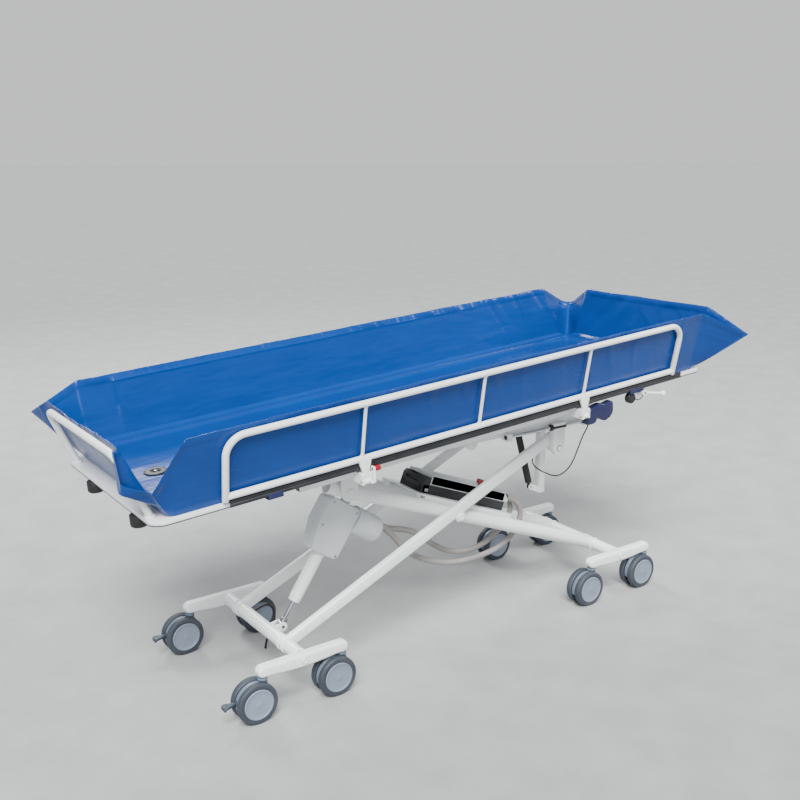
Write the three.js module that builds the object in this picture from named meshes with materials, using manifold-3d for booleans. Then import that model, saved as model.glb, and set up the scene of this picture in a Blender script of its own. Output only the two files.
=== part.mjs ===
// Shower trolley: a height-adjustable tray on a scissor undercarriage with four rocking bogies.
// Millimetres, +Z up, +X towards the head end, -Y the near side. The part stands centred on its origin.
import * as THREE from 'three';
import { mergeVertices } from 'three/addons/utils/BufferGeometryUtils.js';
import Module from 'manifold-3d';

const wasm = await Module();
wasm.setup();

// General fits
const seatGap = 0.3;
const runningGap = 0.5;
const cutOverrun = 5;
const weldReach = 0.0001;
const lugBevel = 0.5;

// Castors: two wheels on one axle, trailing behind the stem
const wheelDiameter = 125;
const wheelWidth = 23;
const wheelSpacing = 18;
const wheelCapDiameter = 90;
const wheelCapProud = 2;
const tyreRound = 5;
const axleDiameter = 12;
const castorTrail = 28;
const castorHeight = 128;
const hoodThickness = 14;
const hoodReach = 58;
const stemDiameter = 30;
const stemDepth = 40;
const hoodStartShare = 0.2;
const hoodEndShare = 1.1;
const pedalLength = 46;
const pedalWidth = 30;
const pedalThickness = 6;
const pedalNeckShare = 0.7;
const pedalPinDiameter = 5;
const pedalPinInset = 4;
const pedalEyeDiameter = 13;
const pedalEyeWidth = 6;

// Bogies: one beam a corner, rocking on the end of a cross tube
const stemSpacing = 265;
const bogieSpread = 504;
const beamHeight = 36;
const beamWidth = 34;
const beamBelly = 6;
const beamRound = 5;
const wheelbase = 1310;
const crossTubeDiameter = 42;
const stubDiameter = 24;
const stubDepth = 28;
const bogieBossHeight = 4;

// Scissor: outer box-section arms from the foot end, inner round arms from the head end
const centrePinHeight = 408;
const upperArmLength = 445;
const outerArmHeight = 40;
const outerArmWidth = 25;
const outerArmSpread = 300;
const outerArmLift = 1.8;
const outerArmRound = 5;
const innerArmDiameter = 48;
const innerArmWall = 3.5;
const innerArmOpenDepth = 90;
const innerArmTail = 68;
const armSideGap = 3.5;
const pivotPinDiameter = 20;
const pivotHubDiameter = 36;
const pinHeadDiameter = 30;
const pinHeadHeight = 7;

// Actuator between the foot cross tube and the top of the inner arms
const actuatorSide = -45;
const actuatorFootReach = 42;
const actuatorFootRise = 6;
const actuatorHeadAlong = 68;
const actuatorHeadDrop = 26;
const actuatorCrossTubeDiameter = 30;
const actuatorCrossTubeAlong = 85;
const actuatorLugThickness = 6;
const actuatorEyeDiameter = 30;
const actuatorEyeWidth = 18;
const actuatorPinDiameter = 12;
const actuatorPivotSlack = 5;
const gearboxDepth = 72;
const gearboxLength = 176;
const gearboxBack = 14;
const gearboxFarSide = 76;
const gearboxNearSide = 52;
const gearboxRound = 12;
const gearboxBevel = 3;
const motorDiameter = 88;
const motorLength = 112;
const motorAlong = 74;
const outerTubeDiameter = 40;
const outerTubeLength = 168;
const pistonDiameter = 15;
const pistonInside = 120;

// Control box and battery on a shelf over the inner arms
const controlBoxStart = 352;
const controlBoxEndInset = 176;
const controlBoxDepth = 130;
const controlBoxHeight = 34;
const controlBoxSide = -12;
const controlBoxSkirt = 8;
const controlBoxChamfer = 22;
const controlBoxBevel = 3;
const batteryHeight = 30;
const batteryHandleLength = 48;
const batteryHandleHeight = 40;
const shelfStart = 296;
const shelfOverhang = 6;
const shelfWidth = 216;
const shelfThickness = 4;
const shelfLift = 36;
const shelfLip = 12;
const shelfStandLength = 26;
const shelfStandWidth = 18;
const shelfStandHeight = 26;
const stopKnobDiameter = 26;
const stopKnobHeight = 22;
const stopKnobInset = 122;
const stopKnobSide = -42;
const stopKnobStem = 12;
const stopKnobTravel = 5;

// Level upper frame that the inner arms hinge on and the outer arms slide along
const upperBeamWidth = 25;
const upperBeamHeight = 40;
const upperPinDrop = 74.731;
const upperBeamFootReach = 34;
const upperBeamHeadReach = 140;
const upperCrossSize = 30;
const hingeLugThickness = 8;
const hingeLugRadius = 29;
const slideRodDiameter = 12;
const slideRodStandOff = 11;
const slideRodRise = 2;
const slideRodFootReach = 235;
const slideRodHeadReach = 132;
const rodLugLength = 20;
const rodLugHeight = 26;
const sliderWidth = 56;
const sliderThickness = 20;
const sliderBevel = 2;
const sliderTopRise = 14;
const sliderFootRadius = 24;
const bushDiameter = 22;
const bushLength = 8;
const columnSize = 28;
const columnLength = 273;
const columnFromSlider = 27;
const springSide = -60;

// Gas spring between the column and the tray
const springFootBack = 48;
const springFootRise = 30;
const springHeadBack = 106;
const springHeadDrop = 85;
const springTubeDiameter = 24;
const springTubeLength = 190;
const springRodDiameter = 10;
const springRodInside = 60;
const springStroke = 30;
const springEyeDiameter = 18;
const springEyeWidth = 10;
const springPinDiameter = 8;
const springPivotSlack = 2;
const springLugThickness = 4;

// Tray: frame, board and its edge rails, tilted about one axis
const trayTilt = 3.5;
const boardRise = 68;
const tiltAxisX = 672;
const tiltAxisRise = 18;
const tiltPinDiameter = 18;
const boardFoot = -457;
const boardHead = 1612;
const boardWidth = 670;
const boardThickness = 20;
const boardCorner = 42;
const trayBeamSpread = 500;
const trayBeamWidth = 25;
const trayBeamHeight = 40;
const trayBeamFoot = 0;
const trayBeamOverhang = 121.5;
const trayCrossFootInset = 44;
const trayCrossHeadInset = 32;
const trayCrossHeight = 24;
const trayCrossWidth = 30;
const tiltLugThickness = 8;
const tiltLugRadius = 24;
const tiltBossDiameter = 32;
const tiltBossSide = 190;
const edgeRailFootInset = 211;
const edgeRailHeadInset = 120;
const edgeRailWall = 4;
const edgeRailRise = 8;
const edgeRailFlange = 9;
const edgeRailLip = 3;

// Liner: a welded tub of coated cloth with a pouring fold at each corner
const linerThickness = 2.4;
const linerFloorThickness = 12;
const linerFootMargin = 47;
const linerHeadMargin = 32;
const linerSideMargin = 15;
const linerSideFlare = 50;
const linerFarTop = 219;
const linerNearTop = 206;
const linerFootTop = 188;
const linerHeadTop = 214;
const linerFootFlare = 80;
const linerHeadFlare = 56;
const linerSpoutReach = { foot: 110, head: 160 };
const linerSpoutSpread = { foot: 90, head: 116 };
const linerSpoutHeight = { foot: 118, head: 114 };
const spoutShares = [
  { out: -0.55, side: 0, rise: 1 },
  { out: -0.1, side: 0.32, rise: 0.9 },
  { out: 0.44, side: 0.66, rise: 0.62 },
  { out: 0.88, side: 0.94, rise: 0.16 },
  { out: 1, side: 1, rise: 0 },
  { out: 0.96, side: 0.8, rise: 0.14 },
  { out: 0.7, side: 0.42, rise: 0.6 },
  { out: 0.4, side: -0.02, rise: 0.94 },
  { out: 0, side: -0.4, rise: 1 },
];
const linerRowShares = [0, 0.08, 0.3, 0.62, 1];
const linerFloorCorner = 26;
const linerBulgeShare = 0.9;
const drainInset = 147;
const drainBore = 46;

// Drain fitting
const drainFlangeDiameter = 68;
const drainFlangeHeight = 4;
const drainSpigotDiameter = 40;
const drainSpigotDepth = 46;
const drainWellDiameter = 32;
const drainBarWidth = 6;

// Rails
const railTubeDiameter = 19;
const railBarDiameter = 10;
const railFootInset = 199;
const railHeadInset = 168;
const railSetOut = 6;
const railLowRise = 21;
const railHeight = 175;
const railLean = 13.4;
const railCorner = 56;
const railPostTail = 12;
const railUprightShares = [0.247, 0.494, 0.749];
const railHingeDrop = 46;
const railHingeOut = 5;
const railHingeShares = [0.25, 0.75];
const railArmTop = 40;
const railArmFoot = 20;
const railArmThickness = 9;
const railBarrelDiameter = 18;
const railHingePinDiameter = 8;
const railHingeEar = 6;
const railHingeBlock = 40;
const railHingeBlockHeight = 34;
const endRailTubeDiameter = 20;
const endRailHeight = 178;
const endRailLean = 20.6;
const endRailInset = 55;
const endRailCorner = 48;
const endRailLowShare = 0.45;
const footRailSetback = 17;
const headRailSetback = 14;
const endRailFootDiameter = 30;
const endRailFootHeight = 6;

// Latch knobs of the side rails
const latchKnobDiameter = 17;
const latchKnobLength = 20;
const latchStemDiameter = 7;
const latchDrop = 14;
const latchOut = 4;

// Buffers under the foot edge
const bufferDiameter = 48;
const bufferHeight = 26;
const bufferInset = 12;
const bufferFarSide = 125;
const bufferNearSide = -205;

// Tilt release at the head end of the near side
const releaseInset = 9;
const releaseLeverX = 1318;
const releaseLeverLength = 100;
const releaseLeverDiameter = 11;
const releaseBallDiameter = 22;
const releaseLeverDroop = 14;
const releaseHubDiameter = 22;
const releaseHubLength = 16;
const releaseHubDrop = 13;
const releasePinDiameter = 9;
const releaseBracketLength = 30;
const releaseBracketThickness = 8;
const cableClampX = 1252;
const cableClampDiameter = 36;
const cableClampLength = 20;
const cableClampNeck = 16;

// Hand control on the near edge of the tray, and its cable to the column
const handControlX = 1094;
const handControlLength = 132;
const handControlHeight = 76;
const handControlDepth = 26;
const handControlInset = 7;
const handControlRound = 4;
const handControlTopShare = 0.42;
const handControlShares = [
  [-0.48, -0.3], [-0.4, -0.44], [-0.14, -0.44], [-0.06, -0.2], [0.2, -0.5], [0.49, -0.22],
  [0.48, handControlTopShare], [0.16, 0.3], [0.03, handControlTopShare], [-0.34, 0.26],
];
const handCableDiameter = 4.5;
const handCableRoute = [
  [1080, -60, 524], [1066, -62, 522], [1052, -68, 512], [1044, -78, 498], [1045, -92, 486],
  [1050, -110, 478], [1056, -132, 473], [1060, -158, 471], [1062, -186, 477], [1063, -214, 495],
  [1063, -240, 522], [1061, -263, 558], [1058, -284, 602], [1057, -305, 650], [1059, -318, 676],
  [1060, -323, 693],
];

// Ribbed conduits from the actuator to the control box
const conduitDiameter = 20;
const conduitRib = 1.6;
const conduitBore = 13;
const conduitSides = 8;
const conduitRibCount = 42;
const conduitStartRise = 20;
const conduitEndDrop = 17;
const conduitOuterSide = -60;
const conduitInnerSide = -24;
const conduitOuterRoute = [
  [446, 366], [470, 338], [497, 305], [541, 266], [605, 232], [678, 207], [750, 196],
  [830, 196], [906, 208], [966, 238], [1000, 280], [1006, 322], [988, 357],
];
const conduitInnerRoute = [
  [462, 369], [512, 354], [560, 334], [606, 300], [660, 258], [720, 226], [790, 211],
  [856, 216], [912, 238], [956, 268], [984, 304], [990, 336], [980, 362],
];

// Earth lead that hangs from the foot cross tube
const earthLeadDiameter = 7;
const earthLeadRoute = [
  [21.2, 104, 146], [44, 104, 152], [66, 104, 156], [84, 104, 148], [95, 104, 130], [98, 104, 108],
  [94, 104, 86], [84, 104, 66], [72, 104, 46], [64, 104, 24], [60, 104, 4],
];

// Facets
const roundSides = 16;
const tubeSides = 10;
const barSides = 8;
const wheelSides = 16;
const curveSteps = 6;
const fewSteps = 3;
const bendSteps = 5;
const ballRings = 8;
const boreRingStep = 10;
const linerSideSteps = 8;
const linerEndSteps = 4;

// Derived places
const wheelRadius = wheelDiameter / 2;
const linerFloorWidth = boardWidth - 2 * linerSideMargin;
const linerFootFloor = boardFoot + linerFootMargin;
const linerHeadFloor = boardHead - linerHeadMargin;
const railSpread = boardWidth + 2 * railSetOut;
const railFoot = boardFoot + railFootInset;
const railHead = boardHead - railHeadInset;
const edgeRailFoot = boardFoot + edgeRailFootInset;
const edgeRailHead = boardHead - edgeRailHeadInset;
const endRailSpread = boardWidth - 2 * endRailInset;
const drainX = boardFoot + drainInset;
const releaseSide = releaseInset - boardWidth / 2;
const handControlSide = handControlInset - boardWidth / 2;
const axleHeight = wheelRadius * Math.cos(Math.PI / wheelSides);
const pivotHeight = castorHeight + beamHeight / 2;
const scissorAngle = Math.atan2(centrePinHeight - pivotHeight, wheelbase / 2);
const upperReach = upperArmLength * Math.cos(scissorAngle);
const upperPinHeight = centrePinHeight + upperArmLength * Math.sin(scissorAngle);
const upperBeamBottom = upperPinHeight + upperPinDrop;
const boardDatumHeight = upperBeamBottom + boardRise;
const columnBottom = upperBeamBottom - columnLength;
const hingeX = wheelbase / 2 - upperReach;
const sliderX = wheelbase / 2 + upperReach;
const springHeadAlong = sliderX - springHeadBack;
const outerArmSide = outerArmSpread / 2;
const controlBoxLength = 2 * upperArmLength - controlBoxEndInset - controlBoxStart;
const shelfLength = controlBoxStart + controlBoxLength + shelfOverhang - shelfStart;
const stopKnobAlong = controlBoxStart + controlBoxLength - stopKnobInset;
const innerArmSide = outerArmSide - outerArmWidth / 2 - armSideGap - innerArmDiameter / 2;
const beamSide = bogieSpread / 2;
const tubeEnd = beamSide - beamWidth / 2 - 2 * seatGap;
const tilt = THREE.MathUtils.degToRad(trayTilt);
const tiltAxisHeight = upperBeamBottom + tiltAxisRise;
const beamTop = -boardThickness - seatGap;
const sideSigns = { near: -1, far: 1 };
const actuatorLugSpan = actuatorEyeWidth / 2 + runningGap + actuatorLugThickness / 2;
const actuatorPinSpan = 2 * actuatorLugSpan + actuatorLugThickness;
const hingeLugOuter = innerArmSide + innerArmDiameter / 2 + armSideGap + hingeLugThickness / 2;
const hingeLugInner = innerArmSide - innerArmDiameter / 2 - armSideGap - hingeLugThickness / 2;
const slideRodSide = outerArmSide + upperBeamWidth / 2 + slideRodStandOff;
const slideRodZ = upperBeamBottom + slideRodRise;
const slideRodStart = sliderX - slideRodFootReach;
const slideRodEnd = sliderX + slideRodHeadReach;
const springLugSpan = springEyeWidth / 2 + runningGap + springLugThickness / 2;
const springPinSpan = 2 * springLugSpan + springLugThickness;
const trayBeamHead = THREE.MathUtils.lerp(railFoot, railHead, railHingeShares[1]) + trayBeamOverhang;
const trayCrossPlaces = [
  trayBeamFoot + trayCrossFootInset, tiltAxisX, springHeadAlong, trayBeamHead - trayCrossHeadInset,
];

// Solids, joins and cuts
function toSolid(geometry) {
  const bare = geometry.index ? geometry.toNonIndexed() : geometry.clone();
  bare.deleteAttribute('normal');
  bare.deleteAttribute('uv');
  const merged = mergeVertices(bare, weldReach);
  const mesh = new wasm.Mesh({
    numProp: 3,
    vertProperties: new Float32Array(merged.attributes.position.array),
    triVerts: new Uint32Array(merged.index.array),
  });
  mesh.merge();
  return new wasm.Manifold(mesh);
}

function toGeometry(solid) {
  const mesh = solid.getMesh();
  const geometry = new THREE.BufferGeometry();
  geometry.setAttribute('position', new THREE.BufferAttribute(new Float32Array(mesh.vertProperties), 3));
  geometry.setIndex(new THREE.BufferAttribute(new Uint32Array(mesh.triVerts), 1));
  geometry.computeVertexNormals();
  return geometry;
}

function joined(...geometries) {
  const solids = geometries.map(toSolid);
  return toGeometry(solids.reduce((whole, next) => whole.add(next)));
}

function joinedWithout(parts, cutters) {
  return cutters.length ? without(joined(...parts), ...cutters) : joined(...parts);
}

function without(geometry, ...cutters) {
  const solids = cutters.map(toSolid);
  return toGeometry(solids.reduce((whole, next) => whole.subtract(next), toSolid(geometry)));
}

// Basic shapes, placed by their centre
function block(length, width, height, x = 0, y = 0, z = 0) {
  return new THREE.BoxGeometry(length, width, height).translate(x, y, z);
}

function drumY(diameter, width, x = 0, y = 0, z = 0, sides = roundSides) {
  return new THREE.CylinderGeometry(diameter / 2, diameter / 2, width, sides).translate(x, y, z);
}

function drumX(diameter, length, x = 0, y = 0, z = 0, sides = roundSides) {
  return new THREE.CylinderGeometry(diameter / 2, diameter / 2, length, sides)
    .rotateZ(Math.PI / 2).translate(x, y, z);
}

function drumZ(diameter, height, x = 0, y = 0, z = 0, sides = roundSides) {
  return new THREE.CylinderGeometry(diameter / 2, diameter / 2, height, sides)
    .rotateX(Math.PI / 2).translate(x, y, z);
}

// An outline in X and Z, given its width across Y
function plateY(shape, width, y = 0, round = 0) {
  const geometry = new THREE.ExtrudeGeometry(shape, {
    depth: width - 2 * round,
    bevelEnabled: round > 0,
    bevelThickness: round,
    bevelSize: round,
    bevelOffset: -round,
    bevelSegments: 1,
    curveSegments: curveSteps,
  });
  return geometry.translate(0, 0, round - width / 2).rotateX(Math.PI / 2).translate(0, y, 0);
}

// A bar of a given section between two points of an X-Z plane
function barBetween(from, to, height, width, y, round) {
  const run = to.clone().sub(from);
  const half = height / 2;
  const section = new THREE.Shape();
  section.moveTo(-half + round, -width / 2);
  section.lineTo(half - round, -width / 2);
  section.lineTo(half, -width / 2 + round);
  section.lineTo(half, width / 2 - round);
  section.lineTo(half - round, width / 2);
  section.lineTo(-half + round, width / 2);
  section.lineTo(-half, width / 2 - round);
  section.lineTo(-half, -width / 2 + round);
  section.closePath();
  return new THREE.ExtrudeGeometry(section, { depth: run.length(), bevelEnabled: false })
    .rotateY(Math.PI / 2).rotateY(-Math.atan2(run.y, run.x)).translate(from.x, y, from.y);
}

function drumBetween(from, to, diameter, y, sides = tubeSides) {
  const run = to.clone().sub(from);
  return new THREE.CylinderGeometry(diameter / 2, diameter / 2, run.length(), sides)
    .rotateZ(-Math.PI / 2).translate(run.length() / 2, 0, 0)
    .rotateY(-Math.atan2(run.y, run.x)).translate(from.x, y, from.y);
}

// A route through given points, met exactly at each step of an extrusion
class Route extends THREE.Curve {
  constructor(points) {
    super();
    this.points = points;
  }

  getPoint(t, target = new THREE.Vector3()) {
    const along = t * (this.points.length - 1);
    const index = Math.min(Math.floor(along), this.points.length - 2);
    return target.lerpVectors(this.points[index], this.points[index + 1], along - index);
  }

  getUtoTmapping(u) {
    return u;
  }

  getTangent(t, target = new THREE.Vector3()) {
    const index = Math.round(t * (this.points.length - 1));
    const before = this.points[Math.max(index - 1, 0)];
    const here = this.points[index];
    const after = this.points[Math.min(index + 1, this.points.length - 1)];
    const arriving = here.clone().sub(before).normalize();
    const leaving = after.clone().sub(here).normalize();
    return target.copy(arriving).add(leaving).normalize();
  }
}

function circle(diameter, sides) {
  const shape = new THREE.Shape();
  for (let side = 0; side < sides; side += 1) {
    const angle = (side + 1 / 2) * 2 * Math.PI / sides;
    const x = diameter / 2 * Math.cos(angle);
    const y = diameter / 2 * Math.sin(angle);
    if (side === 0) shape.moveTo(x, y);
    else shape.lineTo(x, y);
  }
  shape.closePath();
  return shape;
}

function tubeAlong(points, diameter, sides = tubeSides) {
  return new THREE.ExtrudeGeometry(circle(diameter, sides), {
    steps: points.length - 1,
    extrudePath: new Route(points),
  });
}

// The corners of a bent tube, each turned into an arc
function bentRoute(corners, radius) {
  const points = [corners[0].clone()];
  for (let index = 1; index < corners.length - 1; index += 1) {
    const corner = corners[index];
    const back = corners[index - 1].clone().sub(corner).normalize();
    const onward = corners[index + 1].clone().sub(corner).normalize();
    const turn = Math.PI - back.angleTo(onward);
    const setback = radius * Math.tan(turn / 2);
    const inward = back.clone().add(onward).normalize();
    const centre = corner.clone().addScaledVector(inward, radius / Math.cos(turn / 2));
    const start = corner.clone().addScaledVector(back, setback).sub(centre);
    const axis = back.clone().cross(onward).normalize();
    for (let step = 0; step <= bendSteps; step += 1) {
      const spoke = start.clone().applyAxisAngle(axis, -turn * step / bendSteps);
      points.push(centre.clone().add(spoke));
    }
  }
  points.push(corners[corners.length - 1].clone());
  return points;
}

// Finishes
function finish(color, roughness, metalness = 0) {
  return new THREE.MeshStandardMaterial({ color, roughness, metalness });
}

const whitePaint = finish(0xeceeed, 0.35);
const chrome = finish(0xc9ccd0, 0.15, 1);
const greyPlastic = finish(0xbcc1c1, 0.5);
const darkPlastic = finish(0x2a2d31, 0.5);
const hoodPlastic = finish(0x707d8a, 0.5);
const wheelRubber = finish(0x5f6973, 0.7);
const redPlastic = finish(0xb01536, 0.4);
const linerCloth = finish(0x1f64b0, 0.3);
const blackRubber = finish(0x17181a, 0.8);
const conduitPlastic = finish(0xa9a8a4, 0.6);
const navyPlastic = finish(0x18244a, 0.4);
const boardLaminate = finish(0xe6eaec, 0.3);
const edgeTrim = finish(0x2b2d32, 0.5);

const trolley = new THREE.Group();
const tray = new THREE.Group();
tray.position.set(0, 0, boardDatumHeight);
tray.rotation.y = -tilt;
trolley.add(tray);

function piece(name, geometry, material, parent = trolley) {
  const mesh = new THREE.Mesh(geometry, material);
  mesh.name = name;
  parent.add(mesh);
  return mesh;
}

// Points of the tray's own frame and of the trolley's
function toTray(x, z) {
  const rise = z - boardDatumHeight;
  const along = x * Math.cos(tilt) + rise * Math.sin(tilt);
  const up = rise * Math.cos(tilt) - x * Math.sin(tilt);
  return new THREE.Vector2(along, up);
}

function fromTray(along, up) {
  const x = along * Math.cos(tilt) - up * Math.sin(tilt);
  const z = boardDatumHeight + along * Math.sin(tilt) + up * Math.cos(tilt);
  return new THREE.Vector2(x, z);
}

// Twin wheel pair on its axle, a lathe about Y with a flat facet underneath
function wheelPair() {
  const inner = wheelSpacing / 2;
  const outer = inner + wheelWidth;
  const half = [
    [0, outer + wheelCapProud],
    [wheelCapDiameter / 2 - wheelCapProud, outer + wheelCapProud],
    [wheelCapDiameter / 2, outer],
    [wheelRadius - tyreRound, outer],
    [wheelRadius, outer - tyreRound],
    [wheelRadius, inner],
    [axleDiameter / 2, inner],
  ];
  const profile = half.map(([radius, side]) => new THREE.Vector2(radius, side));
  const mirror = half.map(([radius, side]) => new THREE.Vector2(radius, -side)).reverse();
  const outline = profile.concat(mirror).reverse();
  return new THREE.LatheGeometry(outline, wheelSides).rotateY(Math.PI / wheelSides);
}

const pedalPinX = -castorTrail - hoodReach + pedalPinInset;
const pedalPinZ = axleHeight + pedalThickness * 3 / 2;

// Hood between the wheels, with the swivel neck over it; its origin is on the stem's line at the floor
function castorHood(pedalled) {
  const web = new THREE.Shape();
  web.absarc(-castorTrail, axleHeight, hoodReach, Math.PI * hoodStartShare, Math.PI * hoodEndShare, false);
  web.lineTo(-castorTrail - axleDiameter, axleHeight - axleDiameter);
  web.lineTo(-castorTrail + axleDiameter, axleHeight - axleDiameter);
  web.closePath();
  const top = castorHeight - seatGap;
  const neck = drumZ(stemDiameter, stemDepth, 0, 0, top - stemDepth / 2);
  const stock = joined(plateY(web, hoodThickness), neck);
  const axleHole = drumY(axleDiameter + 2 * runningGap, hoodThickness + cutOverrun,
    -castorTrail, 0, axleHeight, barSides);
  const wheelRoom = wheelSpacing / 2 - runningGap;
  const sweep = 2 * (wheelRadius + runningGap) / Math.cos(Math.PI / roundSides);
  const sides = [-1, 1].map((sign) => drumY(sweep, stemDiameter,
    -castorTrail, sign * (wheelRoom + stemDiameter / 2), axleHeight, roundSides));
  const hood = without(stock, axleHole, ...sides);
  if (!pedalled) return hood;
  const slotLength = pedalEyeDiameter * 3 / 2 + runningGap;
  const slot = block(slotLength, pedalEyeWidth + 2 * runningGap, pedalEyeDiameter + pedalThickness,
    pedalPinX - pedalEyeDiameter / 4 + runningGap / 2, 0, pedalPinZ);
  const pin = drumY(pedalPinDiameter, hoodThickness - 2 * seatGap, pedalPinX, 0, pedalPinZ, tubeSides);
  return joined(without(hood, slot), pin);
}

// Brake pedal, a blade whose tongue turns on a pin in the slot of its hood; its origin is on that pin
function brakePedal() {
  const outline = new THREE.Shape();
  const half = pedalWidth / 2;
  const root = hoodThickness / 2;
  const start = -pedalPinInset - 3 * runningGap;
  outline.moveTo(start, -root);
  outline.lineTo(start - pedalLength / 2, -root);
  outline.quadraticCurveTo(start - pedalLength * pedalNeckShare, -half, start - pedalLength, -half);
  outline.lineTo(start - pedalLength - pedalThickness, 0);
  outline.lineTo(start - pedalLength, half);
  outline.quadraticCurveTo(start - pedalLength * pedalNeckShare, half, start - pedalLength / 2, root);
  outline.lineTo(start, root);
  outline.closePath();
  const blade = new THREE.ExtrudeGeometry(outline, {
    depth: pedalThickness, bevelEnabled: false, curveSegments: fewSteps,
  }).translate(0, 0, -pedalThickness / 2);
  const tongueLength = pedalThickness - start;
  const tongue = block(tongueLength, pedalEyeWidth, pedalThickness, -tongueLength / 2);
  const eye = drumY(pedalEyeDiameter, pedalEyeWidth);
  const bore = drumY(pedalPinDiameter + 2 * runningGap, pedalEyeWidth + cutOverrun, 0, 0, 0, tubeSides);
  return without(joined(blade, tongue, eye), bore);
}

function castor(end, side, place, x) {
  const y = sideSigns[side] * beamSide;
  const label = `${end}_${side}_${place}`;
  const pedalled = end === 'foot' && place === 'outer';
  piece(`castor_hood_${label}`, castorHood(pedalled), hoodPlastic).position.set(x, y, 0);
  piece(`wheel_pair_${label}`, wheelPair(), wheelRubber).position.set(x - castorTrail, y, axleHeight);
  if (pedalled) {
    piece(`brake_pedal_${side}`, brakePedal(), hoodPlastic).position.set(x + pedalPinX, y, pedalPinZ);
  }
}

// Bogie beam: rounded ends over the stems, a deeper belly, and a blind bore for the cross tube's stub
function bogieBeam(sign) {
  const end = beamHeight / 2;
  const half = stemSpacing / 2;
  const outline = new THREE.Shape();
  outline.absarc(half, 0, end, Math.PI / 2, -Math.PI / 2, true);
  outline.lineTo(half - stemDiameter, -end);
  outline.quadraticCurveTo(0, -end - 2 * beamBelly, stemDiameter - half, -end);
  outline.lineTo(-half, -end);
  outline.absarc(-half, 0, end, -Math.PI / 2, Math.PI / 2, true);
  outline.closePath();
  const beam = plateY(outline, beamWidth, 0, beamRound);
  const boss = drumY(stubDiameter, bogieBossHeight, 0, sign * (beamWidth + bogieBossHeight) / 2, 0);
  const boreDepth = stubDepth + seatGap;
  const bore = drumY(stubDiameter + 2 * runningGap, boreDepth + cutOverrun,
    0, -sign * (beamWidth / 2 - boreDepth / 2 + cutOverrun / 2), 0, roundSides);
  return without(joined(beam, boss), bore);
}

for (const side of ['near', 'far']) {
  for (const end of ['foot', 'head']) {
    const x = end === 'foot' ? 0 : wheelbase;
    const y = sideSigns[side] * beamSide;
    const beam = piece(`bogie_beam_${end}_${side}`, bogieBeam(sideSigns[side]), whitePaint);
    beam.position.set(x, y, pivotHeight);
    const outward = end === 'foot' ? -1 : 1;
    castor(end, side, 'outer', x + outward * stemSpacing / 2);
    castor(end, side, 'inner', x - outward * stemSpacing / 2);
  }
}

// A pin across Y from an inner to an outer distance, with a head on its outer end
function headedPin(place, inner, outer, diameter, sign) {
  const shank = drumY(diameter, outer - inner, place.x, sign * (outer + inner) / 2, place.y);
  const head = drumY(pinHeadDiameter, pinHeadHeight, place.x, sign * (outer + pinHeadHeight / 2), place.y);
  return joined(shank, head);
}

// A cross tube with the stubs that the bogies rock on
function crossTube(x) {
  const tube = drumY(crossTubeDiameter, 2 * tubeEnd, x, 0, pivotHeight, roundSides);
  const stubSpan = 2 * (tubeEnd + stubDepth);
  return joined(tube, drumY(stubDiameter, stubSpan, x, 0, pivotHeight, roundSides));
}

// Outer arms: box sections welded to the foot cross tube, with hubs under them for the pins
const outerRise = scissorAngle + THREE.MathUtils.degToRad(outerArmLift);
const footPivot = new THREE.Vector2(0, pivotHeight);
const centrePin = new THREE.Vector2(wheelbase / 2, centrePinHeight);
const sliderPin = new THREE.Vector2(sliderX, upperPinHeight);
const hingePin = new THREE.Vector2(hingeX, upperPinHeight);
const actuatorFoot = new THREE.Vector2(actuatorFootReach, pivotHeight + actuatorFootRise);
const outerArmEnd = new THREE.Vector2(sliderX + pivotHubDiameter / 4,
  pivotHeight + (sliderX + pivotHubDiameter / 4) * Math.tan(outerRise));

function hubWeb(pin, overArm) {
  const web = new THREE.Shape();
  const armZ = pivotHeight + pin.x * Math.tan(outerRise);
  const half = pivotHubDiameter / 2;
  web.moveTo(pin.x - half, pin.y);
  web.lineTo(pin.x + half, pin.y);
  web.lineTo(pin.x + half + overArm, armZ);
  web.lineTo(pin.x - half - overArm, armZ - overArm);
  web.closePath();
  return web;
}

function outerArmFrame() {
  const parts = [crossTube(0)];
  const cutters = [];
  for (const sign of Object.values(sideSigns)) {
    const y = sign * outerArmSide;
    parts.push(barBetween(footPivot, outerArmEnd, outerArmHeight, outerArmWidth, y, outerArmRound));
    for (const pin of [centrePin, sliderPin]) {
      parts.push(drumY(pivotHubDiameter, outerArmWidth, pin.x, y, pin.y, roundSides));
      parts.push(plateY(hubWeb(pin, pivotHubDiameter / 4), outerArmWidth / 2, y));
    }
    cutters.push(drumY(pivotPinDiameter + 2 * runningGap, outerArmWidth + cutOverrun,
      sliderPin.x, y, sliderPin.y, roundSides));
    const outer = outerArmSide + outerArmWidth / 2;
    parts.push(headedPin(centrePin, innerArmSide - innerArmDiameter / 2, outer, pivotPinDiameter, sign));
  }
  for (const sign of [-1, 1]) {
    const y = actuatorSide + sign * actuatorLugSpan;
    parts.push(barBetween(footPivot, actuatorFoot, actuatorEyeDiameter, actuatorLugThickness, y, lugBevel));
    const { x: footX, y: footZ } = actuatorFoot;
    parts.push(drumY(actuatorEyeDiameter, actuatorLugThickness, footX, y, footZ, tubeSides));
  }
  const pin = [actuatorFoot.x, actuatorSide, actuatorFoot.y];
  parts.push(drumY(actuatorPinDiameter, actuatorPinSpan, ...pin, tubeSides));
  return joinedWithout(parts, cutters);
}

piece('arm_frame_outer', outerArmFrame(), whitePaint);

// Places on the inner arm: along from the hinge pin towards the head pivot, and up from its line
const headPivot = new THREE.Vector2(wheelbase, pivotHeight);
const innerRun = headPivot.clone().sub(hingePin).normalize();
const innerUp = new THREE.Vector2(-innerRun.y, innerRun.x);

function onInnerArm(along, up = 0) {
  return hingePin.clone().addScaledVector(innerRun, along).addScaledVector(innerUp, up);
}

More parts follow.
